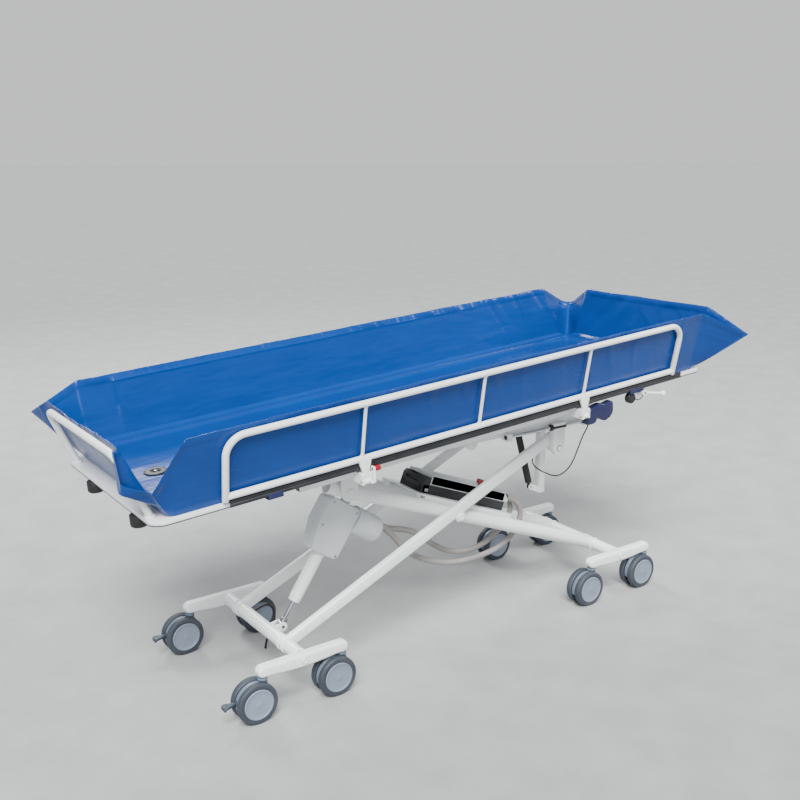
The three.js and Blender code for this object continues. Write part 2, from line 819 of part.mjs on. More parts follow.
function innerBar(start, length, up, height, width, y) {
  return barBetween(onInnerArm(start, up), onInnerArm(start + length, up), height, width, y, lugBevel);
}

const actuatorHead = onInnerArm(actuatorHeadAlong, -actuatorHeadDrop);

function innerArmFrame() {
  const parts = [crossTube(wheelbase)];
  const cutters = [];
  const tailEnd = onInnerArm(-innerArmTail);
  const boreStart = onInnerArm(-innerArmTail - cutOverrun);
  const boreEnd = onInnerArm(innerArmOpenDepth - innerArmTail);
  const bore = innerArmDiameter - 2 * innerArmWall;
  for (const sign of Object.values(sideSigns)) {
    const y = sign * innerArmSide;
    parts.push(drumBetween(tailEnd, headPivot, innerArmDiameter, y, roundSides));
    cutters.push(drumBetween(boreStart, boreEnd, bore, y, roundSides));
    for (const pin of [hingePin, centrePin]) {
      cutters.push(drumY(pivotPinDiameter + 2 * runningGap, innerArmDiameter + cutOverrun,
        pin.x, y, pin.y, roundSides));
    }
    for (const start of [shelfStart, shelfStart + shelfLength - shelfStandLength]) {
      parts.push(innerBar(start, shelfStandLength, shelfLift - shelfStandHeight / 2,
        shelfStandHeight, shelfStandWidth, sign * (shelfWidth / 2 - shelfStandWidth / 2)));
    }
    parts.push(innerBar(shelfStart, shelfLength, shelfLift - shelfLip / 2,
      shelfLip, shelfThickness, sign * (shelfWidth / 2 - shelfThickness / 2)));
  }
  parts.push(innerBar(shelfStart, shelfLength, shelfLift, shelfThickness, shelfWidth, 0));
  const crossTubePlace = onInnerArm(actuatorCrossTubeAlong);
  parts.push(drumY(actuatorCrossTubeDiameter, 2 * innerArmSide, crossTubePlace.x, 0, crossTubePlace.y));
  for (const sign of [-1, 1]) {
    const y = actuatorSide + sign * actuatorLugSpan;
    parts.push(
      barBetween(crossTubePlace, actuatorHead, actuatorEyeDiameter, actuatorLugThickness, y, lugBevel),
    );
    const eye = [actuatorHead.x, y, actuatorHead.y];
    parts.push(drumY(actuatorEyeDiameter, actuatorLugThickness, ...eye, tubeSides));
  }
  const pin = [actuatorHead.x, actuatorSide, actuatorHead.y];
  parts.push(drumY(actuatorPinDiameter, actuatorPinSpan, ...pin, tubeSides));
  return joinedWithout(parts, cutters);
}

piece('arm_frame_inner', innerArmFrame(), whitePaint);

// Actuator, drawn along its own line from the foot pin
const actuatorRun = actuatorHead.clone().sub(actuatorFoot);
const actuatorLength = actuatorRun.length();
const actuatorAngle = Math.atan2(actuatorRun.y, actuatorRun.x);
const actuator = new THREE.Group();
actuator.position.set(actuatorFoot.x, actuatorSide, actuatorFoot.y);
actuator.rotation.y = -actuatorAngle;
trolley.add(actuator);

const gearboxEnd = actuatorLength - actuatorEyeDiameter / 2 - gearboxBack / 2;
const gearboxStart = gearboxEnd - gearboxLength;
const outerTubeStart = gearboxStart - outerTubeLength;

function actuatorHousing() {
  const outline = new THREE.Shape();
  outline.moveTo(gearboxStart, -gearboxNearSide + gearboxRound);
  outline.lineTo(gearboxStart + gearboxRound, -gearboxNearSide);
  outline.lineTo(gearboxEnd - gearboxRound, -gearboxNearSide);
  outline.lineTo(gearboxEnd, -gearboxNearSide + gearboxRound);
  outline.lineTo(gearboxEnd, gearboxFarSide - gearboxRound);
  outline.lineTo(gearboxEnd - gearboxRound, gearboxFarSide);
  outline.lineTo(gearboxStart + gearboxLength / 2, gearboxFarSide);
  outline.lineTo(gearboxStart, gearboxNearSide);
  outline.closePath();
  const tube = drumX(outerTubeDiameter, outerTubeLength + gearboxRound,
    outerTubeStart + (outerTubeLength + gearboxRound) / 2);
  const neck = block(gearboxBack + actuatorEyeDiameter / 2, actuatorEyeWidth, actuatorEyeDiameter,
    gearboxEnd + actuatorEyeDiameter / 4, 0, 0);
  const eye = drumY(actuatorEyeDiameter, actuatorEyeWidth, actuatorLength, 0, 0, tubeSides);
  const stock = joined(plateY(outline, gearboxDepth, 0, gearboxBevel), tube, neck, eye);
  const bore = pistonDiameter + 2 * runningGap;
  const boreDepth = outerTubeLength + pistonInside / 2;
  const rodBore = drumX(bore, boreDepth + cutOverrun, outerTubeStart + (boreDepth - cutOverrun) / 2);
  const pinBore = drumY(actuatorPinDiameter + 2 * runningGap, actuatorEyeWidth + cutOverrun,
    actuatorLength, 0, 0, tubeSides);
  return without(stock, rodBore, pinBore);
}

function actuatorMotor() {
  const top = -gearboxNearSide - seatGap;
  const radius = motorDiameter / 2;
  const profile = [
    [0, 0], [radius - gearboxRound, 0], [radius, gearboxRound], [radius, motorLength], [0, motorLength],
  ].map(([out, up]) => new THREE.Vector2(out, up));
  return new THREE.LatheGeometry(profile, roundSides).rotateX(Math.PI / 2)
    .translate(gearboxEnd - motorAlong / 2, 0, top - motorLength);
}

function actuatorPiston() {
  const reach = outerTubeStart + pistonInside;
  const rod = drumX(pistonDiameter, reach, reach / 2);
  const eye = drumY(actuatorEyeDiameter, actuatorEyeWidth, 0, 0, 0, tubeSides);
  const bore = drumY(actuatorPinDiameter + 2 * actuatorPivotSlack, actuatorEyeWidth + cutOverrun,
    0, 0, 0);
  return without(joined(rod, eye), bore);
}

piece('actuator_housing', actuatorHousing(), greyPlastic, actuator);
piece('actuator_motor', actuatorMotor(), greyPlastic, actuator);
piece('actuator_piston', actuatorPiston(), chrome, actuator);

// Control box, battery and stop knob, drawn along the inner arm
const box = new THREE.Group();
box.position.set(hingePin.x, controlBoxSide, hingePin.y);
box.rotation.y = -Math.atan2(innerRun.y, innerRun.x);
trolley.add(box);
const shelfTop = shelfLift + shelfThickness / 2 + seatGap;
const boxBottom = shelfTop + batteryHeight + seatGap;
const boxTop = boxBottom + controlBoxHeight;

function controlBox() {
  const end = controlBoxStart + controlBoxLength;
  const outline = new THREE.Shape();
  outline.moveTo(controlBoxStart, boxBottom);
  outline.lineTo(end, boxBottom);
  outline.lineTo(end, boxTop - controlBoxChamfer);
  outline.lineTo(end - controlBoxChamfer, boxTop);
  outline.lineTo(controlBoxStart, boxTop);
  outline.closePath();
  const skirtHeight = boxTop - shelfTop;
  const skirt = block(controlBoxLength - controlBoxChamfer, controlBoxSkirt, skirtHeight,
    controlBoxStart + (controlBoxLength - controlBoxChamfer) / 2,
    (controlBoxDepth - controlBoxSkirt) / 2, shelfTop + skirtHeight / 2);
  const stemRoom = stopKnobStem / 2 + stopKnobTravel;
  const stemHole = drumZ(stopKnobStem + 2 * runningGap, 2 * stemRoom,
    stopKnobAlong, stopKnobSide - controlBoxSide, boxTop, tubeSides);
  return without(joined(plateY(outline, controlBoxDepth, 0, controlBoxBevel), skirt), stemHole);
}

function battery() {
  const width = controlBoxDepth - controlBoxSkirt - 2 * seatGap;
  const y = -(controlBoxSkirt + 2 * seatGap) / 2;
  const start = controlBoxStart - seatGap - batteryHandleLength;
  const length = controlBoxStart + controlBoxLength - controlBoxChamfer - start;
  const bed = block(length, width, batteryHeight, start + length / 2, y, shelfTop + batteryHeight / 2);
  const handle = block(batteryHandleLength, width, batteryHandleHeight,
    start + batteryHandleLength / 2, y, shelfTop + batteryHeight + batteryHandleHeight / 2);
  return joined(bed, handle);
}

function stopKnob() {
  const stem = drumZ(stopKnobStem, stopKnobStem / 2, 0, 0, -stopKnobStem / 4, tubeSides);
  const cap = drumZ(stopKnobDiameter, stopKnobHeight - stopKnobTravel, 0, 0,
    stopKnobTravel + (stopKnobHeight - stopKnobTravel) / 2);
  const waist = drumZ(stopKnobStem, stopKnobTravel * 2, 0, 0, stopKnobTravel, tubeSides);
  return joined(stem, cap, waist);
}

piece('control_box', controlBox(), greyPlastic, box);
piece('battery_pack', battery(), darkPlastic, box);
piece('stop_knob', stopKnob(), redPlastic, box)
  .position.set(stopKnobAlong, stopKnobSide - controlBoxSide, boxTop + seatGap);

// Level frame: side beams, cross members, hinge lugs, rod lugs, tilt bosses and the spring column
function upperFrame() {
  const parts = [];
  const cutters = [];
  const start = hingePin.x - upperBeamFootReach;
  const end = sliderPin.x + upperBeamHeadReach;
  const middle = (start + end) / 2;
  const beamZ = upperBeamBottom + upperBeamHeight / 2;
  const columnX = sliderPin.x + columnFromSlider;
  for (const sign of Object.values(sideSigns)) {
    parts.push(block(end - start, upperBeamWidth, upperBeamHeight, middle, sign * outerArmSide, beamZ));
    for (const side of [hingeLugOuter, hingeLugInner]) {
      const y = sign * side;
      const height = beamZ - hingePin.y;
      parts.push(drumY(2 * hingeLugRadius, hingeLugThickness, hingePin.x, y, hingePin.y, roundSides));
      const centreZ = hingePin.y + height / 2;
      parts.push(block(2 * hingeLugRadius, hingeLugThickness, height, hingePin.x, y, centreZ));
    }
    const pinStart = hingeLugInner - hingeLugThickness / 2;
    const pinEnd = hingeLugOuter + hingeLugThickness / 2;
    parts.push(headedPin(hingePin, pinStart, pinEnd, pivotPinDiameter, sign));
    for (const x of [slideRodStart + rodLugLength / 2, slideRodEnd - rodLugLength / 2]) {
      const depth = slideRodSide + rodLugHeight / 2 - outerArmSide;
      parts.push(block(rodLugLength, depth, rodLugHeight, x, sign * (outerArmSide + depth / 2), slideRodZ));
    }
    cutters.push(drumX(slideRodDiameter + 2 * seatGap, slideRodEnd - slideRodStart + cutOverrun,
      (slideRodStart + slideRodEnd) / 2, sign * slideRodSide, slideRodZ, tubeSides));
    parts.push(drumY(tiltBossDiameter, tiltBossSide - outerArmSide, tiltAxisX,
      sign * (tiltBossSide + outerArmSide) / 2, tiltAxisHeight));
    parts.push(headedPin(new THREE.Vector2(tiltAxisX, tiltAxisHeight), outerArmSide,
      tiltBossSide + 2 * seatGap + tiltLugThickness, tiltPinDiameter, sign));
  }
  for (const x of [hingePin.x, columnX]) {
    parts.push(block(upperCrossSize, outerArmSpread, upperCrossSize, x, 0, beamZ));
  }
  const columnTop = beamZ;
  parts.push(block(columnSize, columnSize, columnTop - columnBottom,
    columnX, springSide, (columnTop + columnBottom) / 2));
  const foot = new THREE.Vector2(columnX - springFootBack, columnBottom + springFootRise);
  const root = new THREE.Vector2(columnX, columnBottom + springEyeDiameter / 2);
  for (const sign of [-1, 1]) {
    const y = springSide + sign * springLugSpan;
    parts.push(barBetween(foot, root, springEyeDiameter, springLugThickness, y, lugBevel));
    const across = springEyeDiameter + springLugThickness;
    parts.push(drumY(across, springLugThickness, foot.x, y, foot.y, tubeSides));
  }
  parts.push(drumY(springPinDiameter, springPinSpan, foot.x, springSide, foot.y, tubeSides));
  return joinedWithout(parts, cutters);
}

piece('upper_frame', upperFrame(), whitePaint);

for (const [side, sign] of Object.entries(sideSigns)) {
  const rod = drumX(slideRodDiameter, slideRodEnd - slideRodStart, 0, 0, 0, tubeSides);
  piece(`slide_rod_${side}`, rod, chrome)
    .position.set((slideRodStart + slideRodEnd) / 2, sign * slideRodSide, slideRodZ);
}

// Slider: a plate that rides on the slide rod and carries the outer arm's upper pin
function slider(sign) {
  const outline = new THREE.Shape();
  const half = sliderWidth / 2;
  const rise = slideRodZ - sliderPin.y + sliderTopRise;
  outline.moveTo(-half, rise);
  outline.lineTo(-sliderFootRadius, 0);
  outline.absarc(0, 0, sliderFootRadius, Math.PI, 2 * Math.PI, false);
  outline.lineTo(half, rise);
  outline.closePath();
  const plate = plateY(outline, sliderThickness, 0, sliderBevel);
  const pinReach = slideRodSide - outerArmSide + outerArmWidth / 2;
  const pin = drumY(pivotPinDiameter, pinReach, 0, -sign * pinReach / 2, 0, roundSides);
  const rodZ = slideRodZ - sliderPin.y;
  const bush = drumX(bushDiameter, bushLength + half, -(half + bushLength) / 2, 0, rodZ);
  const bore = drumX(slideRodDiameter + 2 * runningGap, sliderWidth + 2 * bushLength + 2 * cutOverrun,
    0, 0, rodZ, tubeSides);
  return without(joined(plate, pin, bush), bore);
}

for (const [side, sign] of Object.entries(sideSigns)) {
  const hanger = piece(`slider_${side}`, slider(sign), whitePaint);
  hanger.position.set(sliderPin.x, sign * slideRodSide, sliderPin.y);
}

// Gas spring
const springFoot = new THREE.Vector2(
  sliderPin.x + columnFromSlider - springFootBack, columnBottom + springFootRise,
);
const springHead = fromTray(springHeadAlong, -springHeadDrop);
const springRun = springHead.clone().sub(springFoot);
const springLength = springRun.length();
const spring = new THREE.Group();
spring.position.set(springFoot.x, springSide, springFoot.y);
spring.rotation.y = -Math.atan2(springRun.y, springRun.x);
trolley.add(spring);

function springEye(x, slack) {
  const eye = drumY(springEyeDiameter, springEyeWidth, x, 0, 0, tubeSides);
  const hole = drumY(springPinDiameter + 2 * slack, springEyeWidth + cutOverrun, x, 0, 0, tubeSides);
  return [eye, hole];
}

function springCylinder() {
  const [eye, hole] = springEye(0, runningGap);
  const start = springEyeDiameter;
  const tube = drumX(springTubeDiameter, springTubeLength, start + springTubeLength / 2);
  const neck = drumX(springRodDiameter, start, start / 2 + springPinDiameter / 2, 0, 0, tubeSides);
  const mouth = start + springTubeLength;
  const depth = springRodInside + springStroke;
  const bore = drumX(springRodDiameter + 2 * runningGap, depth + cutOverrun,
    mouth + (cutOverrun - depth) / 2, 0, 0, tubeSides);
  return without(joined(eye, neck, tube), hole, bore);
}

function springRod() {
  const [eye, hole] = springEye(springLength, springPivotSlack);
  const start = springEyeDiameter + springTubeLength - springRodInside;
  const end = springLength - springPinDiameter / 2;
  const rod = drumX(springRodDiameter, end - start, (start + end) / 2, 0, 0, tubeSides);
  return without(joined(rod, eye), hole);
}

piece('spring_cylinder', springCylinder(), darkPlastic, spring);
piece('spring_rod', springRod(), chrome, spring);

// Board with rounded corners, bored for the drain
function trayBoard() {
  const half = boardWidth / 2;
  const outline = new THREE.Shape();
  outline.absarc(boardHead - boardCorner, half - boardCorner, boardCorner, 0, Math.PI / 2, false);
  outline.absarc(boardFoot + boardCorner, half - boardCorner, boardCorner, Math.PI / 2, Math.PI, false);
  outline.absarc(boardFoot + boardCorner, -half + boardCorner, boardCorner, Math.PI, 3 * Math.PI / 2, false);
  const nearCorner = [boardHead - boardCorner, -half + boardCorner];
  outline.absarc(...nearCorner, boardCorner, 3 * Math.PI / 2, 2 * Math.PI, false);
  outline.closePath();
  const settings = { depth: boardThickness, bevelEnabled: false, curveSegments: curveSteps };
  const plate = new THREE.ExtrudeGeometry(outline, settings)
    .translate(0, 0, -boardThickness);
  const hole = drumZ(drainBore, boardThickness + cutOverrun, drainX, 0, -boardThickness / 2);
  return without(plate, hole);
}

piece('tray_board', trayBoard(), boardLaminate, tray);

// Edge rail: an angle over the long edge of the board, cut back where the rail latches and hinges pass
function edgeRail(sign) {
  const length = edgeRailHead - edgeRailFoot;
  const inside = boardWidth / 2 + seatGap;
  const wallHeight = boardThickness + edgeRailRise;
  const middle = (edgeRailHead + edgeRailFoot) / 2;
  const wall = block(length, edgeRailWall, wallHeight, middle,
    sign * (inside + edgeRailWall / 2), edgeRailRise - wallHeight / 2);
  const lip = block(length, edgeRailFlange, edgeRailLip, middle,
    sign * (inside + edgeRailWall / 2 - edgeRailFlange / 2), seatGap + edgeRailLip / 2);
  return joined(wall, lip);
}

for (const [side, sign] of Object.entries(sideSigns)) {
  piece(`edge_rail_${side}`, edgeRail(sign), edgeTrim, tray);
}

// Side rail, drawn in the tray's frame: a leaning hoop with a lower tube, uprights and two hinge arms
const lean = THREE.MathUtils.degToRad(railLean);
const railHingeSide = railSpread / 2 + railHingeOut;

function onRail(x, rise, sign) {
  const out = railSpread / 2 + rise * Math.sin(lean);
  return new THREE.Vector3(x, sign * out, railLowRise + rise * Math.cos(lean));
}

function railAt(share) {
  return THREE.MathUtils.lerp(railFoot, railHead, share);
}

function railArm(x, sign) {
  const outline = new THREE.Shape();
  outline.moveTo(-railArmTop / 2, railLowRise);
  outline.lineTo(-railArmFoot / 2, beamTop + 2 * runningGap);
  outline.lineTo(-railArmFoot / 2, -railHingeDrop);
  outline.lineTo(railArmFoot / 2, -railHingeDrop);
  outline.lineTo(railArmFoot / 2, beamTop + 2 * runningGap);
  outline.lineTo(railArmTop / 2, railLowRise);
  outline.closePath();
  const plate = plateY(outline, railArmThickness, 0).translate(x, sign * railHingeSide, 0);
  const barrel = drumX(railBarrelDiameter, railArmFoot, x, sign * railHingeSide, -railHingeDrop);
  return joined(plate, barrel);
}

function sideRail(sign) {
  const hoop = bentRoute([
    onRail(railFoot, -railPostTail, sign), onRail(railFoot, railHeight, sign),
    onRail(railHead, railHeight, sign), onRail(railHead, -railPostTail, sign),
  ], railCorner);
  const parts = [tubeAlong(hoop, railTubeDiameter)];
  const cutters = [];
  const low = [onRail(railFoot, 0, sign), onRail(railHead, 0, sign)];
  parts.push(tubeAlong(low, railTubeDiameter));
  for (const share of railUprightShares) {
    const ends = [onRail(railAt(share), 0, sign), onRail(railAt(share), railHeight, sign)];
    parts.push(tubeAlong(ends, railBarDiameter, barSides));
  }
  for (const share of railHingeShares) {
    parts.push(railArm(railAt(share), sign));
    cutters.push(drumX(railHingePinDiameter + 2 * runningGap, railArmFoot + cutOverrun,
      railAt(share), sign * railHingeSide, -railHingeDrop, tubeSides));
  }
  return joinedWithout(parts, cutters);
}

// Hinge block under the board: a fork with the pin that the rail's barrel turns on
function railHinge(share, sign, latched) {
  const x = railAt(share);
  const top = -boardThickness - seatGap;
  const inner = boardWidth / 2 - railHingeBlock;
  const outer = railHingeSide - railBarrelDiameter / 2 - runningGap * 2;
  const earSide = railHingeSide + railBarrelDiameter / 2;
  const width = railArmFoot + 2 * (railHingeEar + runningGap);
  const centre = [x, sign * (outer + inner) / 2, top - railHingeBlockHeight / 2];
  const base = block(width, outer - inner, railHingeBlockHeight, ...centre);
  const parts = [base];
  for (const end of [-1, 1]) {
    const earX = x + end * (railArmFoot / 2 + runningGap + railHingeEar / 2);
    const earWidth = earSide - outer + railHingeEar;
    const y = sign * (earSide - earWidth / 2);
    parts.push(block(railHingeEar, earWidth, railHingeBlockHeight, earX, y, top - railHingeBlockHeight / 2));
  }
  const span = width - railHingeEar;
  parts.push(drumX(railHingePinDiameter, span, x, sign * railHingeSide, -railHingeDrop, tubeSides));
  if (!latched) return joined(...parts);
  const post = latchPost(x, sign);
  return without(joined(...parts, post.body), post.bore);
}

function latchPost(x, sign) {
  const faceX = x + railArmTop / 2 + runningGap;
  const side = railHingeSide + latchOut;
  const low = -boardThickness - railHingeBlockHeight;
  const height = latchDrop * -1 + latchKnobDiameter / 2 - low;
  const body = block(railHingeEar, railArmThickness + railHingeEar, height,
    faceX + railHingeEar / 2, sign * side, low + height / 2);
  const footStart = x + railArmFoot / 2 + runningGap;
  const footLength = faceX + railHingeEar - footStart;
  const foot = block(footLength, railArmThickness + railHingeEar, railHingeEar, footStart + footLength / 2,
    sign * side, low + railHingeEar / 2);
  const footCut = drumX(railBarrelDiameter + 2 * runningGap, railArmFoot + 2 * runningGap,
    x, sign * railHingeSide, -railHingeDrop);
  const bore = drumX(latchStemDiameter + 2 * runningGap, railHingeEar + cutOverrun,
    faceX + railHingeEar / 2, sign * side, -latchDrop, tubeSides);
  return { body: without(joined(body, foot), footCut), bore };
}

function latchKnob() {
  const stemLength = railHingeEar + runningGap;
  const stem = drumX(latchStemDiameter, stemLength, -stemLength / 2, 0, 0, tubeSides);
  const knob = drumX(latchKnobDiameter, latchKnobLength, latchKnobLength / 2);
  return joined(stem, knob);
}

// Tray frame: beams and cross members under the board, tilt brackets and the spring's lugs
const tiltInTray = toTray(tiltAxisX, tiltAxisHeight);

function trayFrame() {
  const parts = [];
  const cutters = [];
  const length = trayBeamHead - trayBeamFoot;
  const crossZ = beamTop - trayCrossHeight / 2;
  for (const sign of Object.values(sideSigns)) {
    parts.push(block(length, trayBeamWidth, trayBeamHeight, trayBeamFoot + length / 2,
      sign * trayBeamSpread / 2, beamTop - trayBeamHeight / 2));
    const y = sign * (tiltBossSide + seatGap + tiltLugThickness / 2);
    const height = crossZ - tiltInTray.y;
    parts.push(drumY(2 * tiltLugRadius, tiltLugThickness, tiltInTray.x, y, tiltInTray.y, roundSides));
    const centreZ = tiltInTray.y + height / 2;
    parts.push(block(2 * tiltLugRadius, tiltLugThickness, height, tiltInTray.x, y, centreZ));
    cutters.push(drumY(tiltPinDiameter + 2 * runningGap, tiltLugThickness + cutOverrun,
      tiltInTray.x, y, tiltInTray.y, roundSides));
  }
  for (const x of trayCrossPlaces) {
    parts.push(block(trayCrossWidth, trayBeamSpread, trayCrossHeight, x, 0, crossZ));
  }
  for (const sign of [-1, 1]) {
    const y = springSide + sign * springLugSpan;
    const height = springHeadDrop - trayCrossHeight;
    const centreZ = height / 2 - springHeadDrop;
    parts.push(block(springEyeDiameter, springLugThickness, height, springHeadAlong, y, centreZ));
    parts.push(drumY(springEyeDiameter, springLugThickness, springHeadAlong, y, -springHeadDrop, tubeSides));
  }
  const springPin = [springHeadAlong, springSide, -springHeadDrop];
  parts.push(drumY(springPinDiameter, springPinSpan, ...springPin, tubeSides));
  for (const share of railHingeShares) {
    for (const sign of Object.values(sideSigns)) {
      parts.push(railHinge(share, sign, share === railHingeShares[0]));
    }
    parts.push(block(trayCrossWidth, boardWidth - railHingeBlock, trayCrossHeight, railAt(share), 0, crossZ));
  }
  return joinedWithout(parts, cutters);
}

piece('tray_frame', trayFrame(), whitePaint, tray);

const latchX = railAt(railHingeShares[0]) + railArmTop / 2 + runningGap + railHingeEar + seatGap;

for (const [side, sign] of Object.entries(sideSigns)) {
  piece(`side_rail_${side}`, sideRail(sign), whitePaint, tray);
  const knob = piece(`latch_knob_${side}`, latchKnob(), redPlastic, tray);
  knob.position.set(latchX, sign * (railHingeSide + latchOut), -latchDrop);
}

// End rail: a leaning hoop on two feet, with a lower bar
function endRail(baseX, outward) {
  const angle = THREE.MathUtils.degToRad(endRailLean);
  const half = endRailSpread / 2;
  const at = (y, rise) => new THREE.Vector3(baseX + outward * rise * Math.tan(angle), y, rise);
  const foot = endRailFootHeight / 2 + seatGap;
  const hoop = bentRoute([at(-half, foot), at(-half, endRailHeight), at(half, endRailHeight), at(half, foot)],
    endRailCorner);
  const low = endRailHeight * endRailLowShare;
  const parts = [tubeAlong(hoop, endRailTubeDiameter)];
  parts.push(tubeAlong([at(-half, low), at(half, low)], railBarDiameter, barSides));
  for (const sign of Object.values(sideSigns)) {
    parts.push(drumZ(endRailFootDiameter, endRailFootHeight, at(0, foot).x, sign * half,
      seatGap + endRailFootHeight / 2));
  }
  const below = block(2 * endRailFootDiameter, 2 * endRailSpread, endRailFootDiameter, baseX, 0,
    seatGap - endRailFootDiameter / 2);
  return joinedWithout(parts, [below]);
}

piece('end_rail_foot', endRail(boardFoot + footRailSetback, -1), whitePaint, tray);
piece('end_rail_head', endRail(boardHead - headRailSetback, 1), whitePaint, tray);

// Buffers under the foot edge of the board
for (const [name, y] of [['near', bufferNearSide], ['far', bufferFarSide]]) {
  const buffer = drumZ(bufferDiameter, bufferHeight);
  piece(`buffer_${name}`, buffer, blackRubber, tray)
    .position.set(boardFoot + bufferInset, y, beamTop - bufferHeight / 2);
}

// Liner: rings of points from the floor to the rim, with a pouring fold at each corner
function linerCorner(end, sign, sideTop) {
  const outward = end === 'head' ? 1 : -1;
  const floorEnd = end === 'head' ? linerHeadFloor : linerFootFloor;
  const endTop = end === 'head' ? linerHeadTop : linerFootTop;
  const endFlare = end === 'head' ? linerHeadFlare : linerFootFlare;
  const reach = linerSpoutReach[end];
  const spread = linerSpoutSpread[end];
  const half = linerFloorWidth / 2;
  const last = spoutShares.length - 1;
  return spoutShares.map(({ out, side, rise }, index) => {
    const turn = index / last;
    const top = THREE.MathUtils.lerp(sideTop, endTop, turn);
    const angle = turn * Math.PI / 2;
    const rimOut = index === last ? endFlare : out * reach;
    const rimSide = index === 0 ? linerSideFlare : linerSideFlare + side * (spread - linerSideFlare);
    const floorOut = index === 0 ? out * reach : linerFloorCorner * (Math.sin(angle) - 1);
    const floorSide = index === last ? side * spread : linerFloorCorner * (Math.cos(angle) - 1);
    return {
      floor: new THREE.Vector2(floorEnd + outward * floorOut, sign * (half + floorSide)),
      rim: new THREE.Vector3(floorEnd + outward * rimOut, sign * (half + rimSide),
        THREE.MathUtils.lerp(linerSpoutHeight[end], top, rise)),
    };
  });
}

function between(from, to, count) {
  const stations = [];
  for (let step = 1; step < count; step += 1) {
    stations.push({
      floor: from.floor.clone().lerp(to.floor, step / count),
      rim: from.rim.clone().lerp(to.rim, step / count),
    });
  }
  return stations;
}

function linerStations() {
  const footNear = linerCorner('foot', -1, linerNearTop).reverse();
  const headNear = linerCorner('head', -1, linerNearTop);
  const headFar = linerCorner('head', 1, linerFarTop).reverse();
  const footFar = linerCorner('foot', 1, linerFarTop);
  const corners = [footNear, headNear, headFar, footFar];
  const spans = [linerSideSteps, linerEndSteps, linerSideSteps, linerEndSteps];
  return corners.flatMap((corner, index) => {
    const next = corners[(index + 1) % corners.length];
    return corner.concat(between(corner[corner.length - 1], next[0], spans[index]));
  });
}

function linerTub() {
  const stations = linerStations();
  const count = stations.length;
  const outer = linerRowShares.map((row) => stations.map(({ floor, rim }) => {
    const share = Math.pow(row, linerBulgeShare);
    return new THREE.Vector3(
      THREE.MathUtils.lerp(floor.x, rim.x, share),
      THREE.MathUtils.lerp(floor.y, rim.y, share),
      THREE.MathUtils.lerp(seatGap, rim.z, row),
    );
  }));
  const inner = outer.map((ring, row) => ring.map((point, index) => {
    const before = ring[(index + count - 1) % count];
    const after = ring[(index + 1) % count];
    const inward = new THREE.Vector3(before.y - after.y, after.x - before.x, 0).normalize();
    const place = point.clone().addScaledVector(inward, linerThickness);
    if (row === 0) place.z = seatGap + linerFloorThickness;
    if (row === 1) place.z = Math.max(place.z, seatGap + linerFloorThickness + linerThickness);
    return place;
  }));
  const positions = [];
  const faces = [];
  const rings = outer.concat(inner.reverse());
  rings.forEach((ring) => ring.forEach((point) => positions.push(point.x, point.y, point.z)));
  for (let row = 0; row < rings.length - 1; row += 1) {
    for (let index = 0; index < count; index += 1) {
      const next = (index + 1) % count;
      const a = row * count + index;
      const b = row * count + next;
      faces.push(a, b, b + count, a, b + count, a + count);
    }
  }
  for (const [ring, turned] of [[0, true], [rings.length - 1, false]]) {
    const centre = positions.length / 3;
    const middle = (linerHeadFloor + linerFootFloor) / 2;
    positions.push(middle, 0, rings[ring][0].z);
    for (let index = 0; index < count; index += 1) {
      const a = ring * count + index;
      const b = ring * count + (index + 1) % count;
      faces.push(...(turned ? [centre, b, a] : [centre, a, b]));
    }
  }
  const tub = new THREE.BufferGeometry();
  tub.setAttribute('position', new THREE.Float32BufferAttribute(positions, 3));
  tub.setIndex(faces);
  const hole = drumZ(drainBore, linerFloorThickness + 2 * cutOverrun, drainX, 0, linerFloorThickness / 2);
  return without(tub, hole);
}

piece('liner', linerTub(), linerCloth, tray);

// Drain: a flange with a cross over a spigot that passes through the liner and the board
function drainFitting() {
  const flangeBottom = 2 * seatGap + linerFloorThickness;
  const top = flangeBottom + drainFlangeHeight;
  const flange = drumZ(drainFlangeDiameter, drainFlangeHeight, 0, 0, top - drainFlangeHeight / 2);
  const length = drainSpigotDepth + top;
  const spigot = drumZ(drainSpigotDiameter, length, 0, 0, top - length / 2);
  const bore = drumZ(drainWellDiameter, length + 2 * cutOverrun, 0, 0, top - length / 2);
  const barLength = drainWellDiameter + drainBarWidth;
  const bars = [0, Math.PI / 2].map((turn) => block(barLength, drainBarWidth, drainFlangeHeight)
    .rotateZ(turn).translate(0, 0, top - drainFlangeHeight / 2));
  return joined(without(joined(flange, spigot), bore), ...bars);
}

piece('drain_fitting', drainFitting(), blackRubber, tray).position.set(drainX, 0, 0);

// Tilt release: a bracket under the board, the lever on its pin, and a cable clamp with its cable
const releaseHubZ = beamTop - releaseHubDrop;

function releaseBracket() {
  const plateSide = releaseSide + releaseHubLength / 2 + runningGap + releaseBracketThickness / 2;
  const height = releaseHubDrop + releaseHubDiameter / 2;
  const centre = [0, plateSide, beamTop - height / 2];
  const plate = block(releaseBracketLength, releaseBracketThickness, height, ...centre);
  const flange = block(releaseBracketLength, releaseBracketLength, releaseBracketThickness / 2,
    0, plateSide + releaseBracketLength / 2, beamTop - releaseBracketThickness / 4);
  const pinLength = releaseHubLength + runningGap + releaseBracketThickness / 2;
  const pin = drumY(releasePinDiameter, pinLength, 0, plateSide - pinLength / 2, releaseHubZ, tubeSides);
  return joined(plate, flange, pin);
}

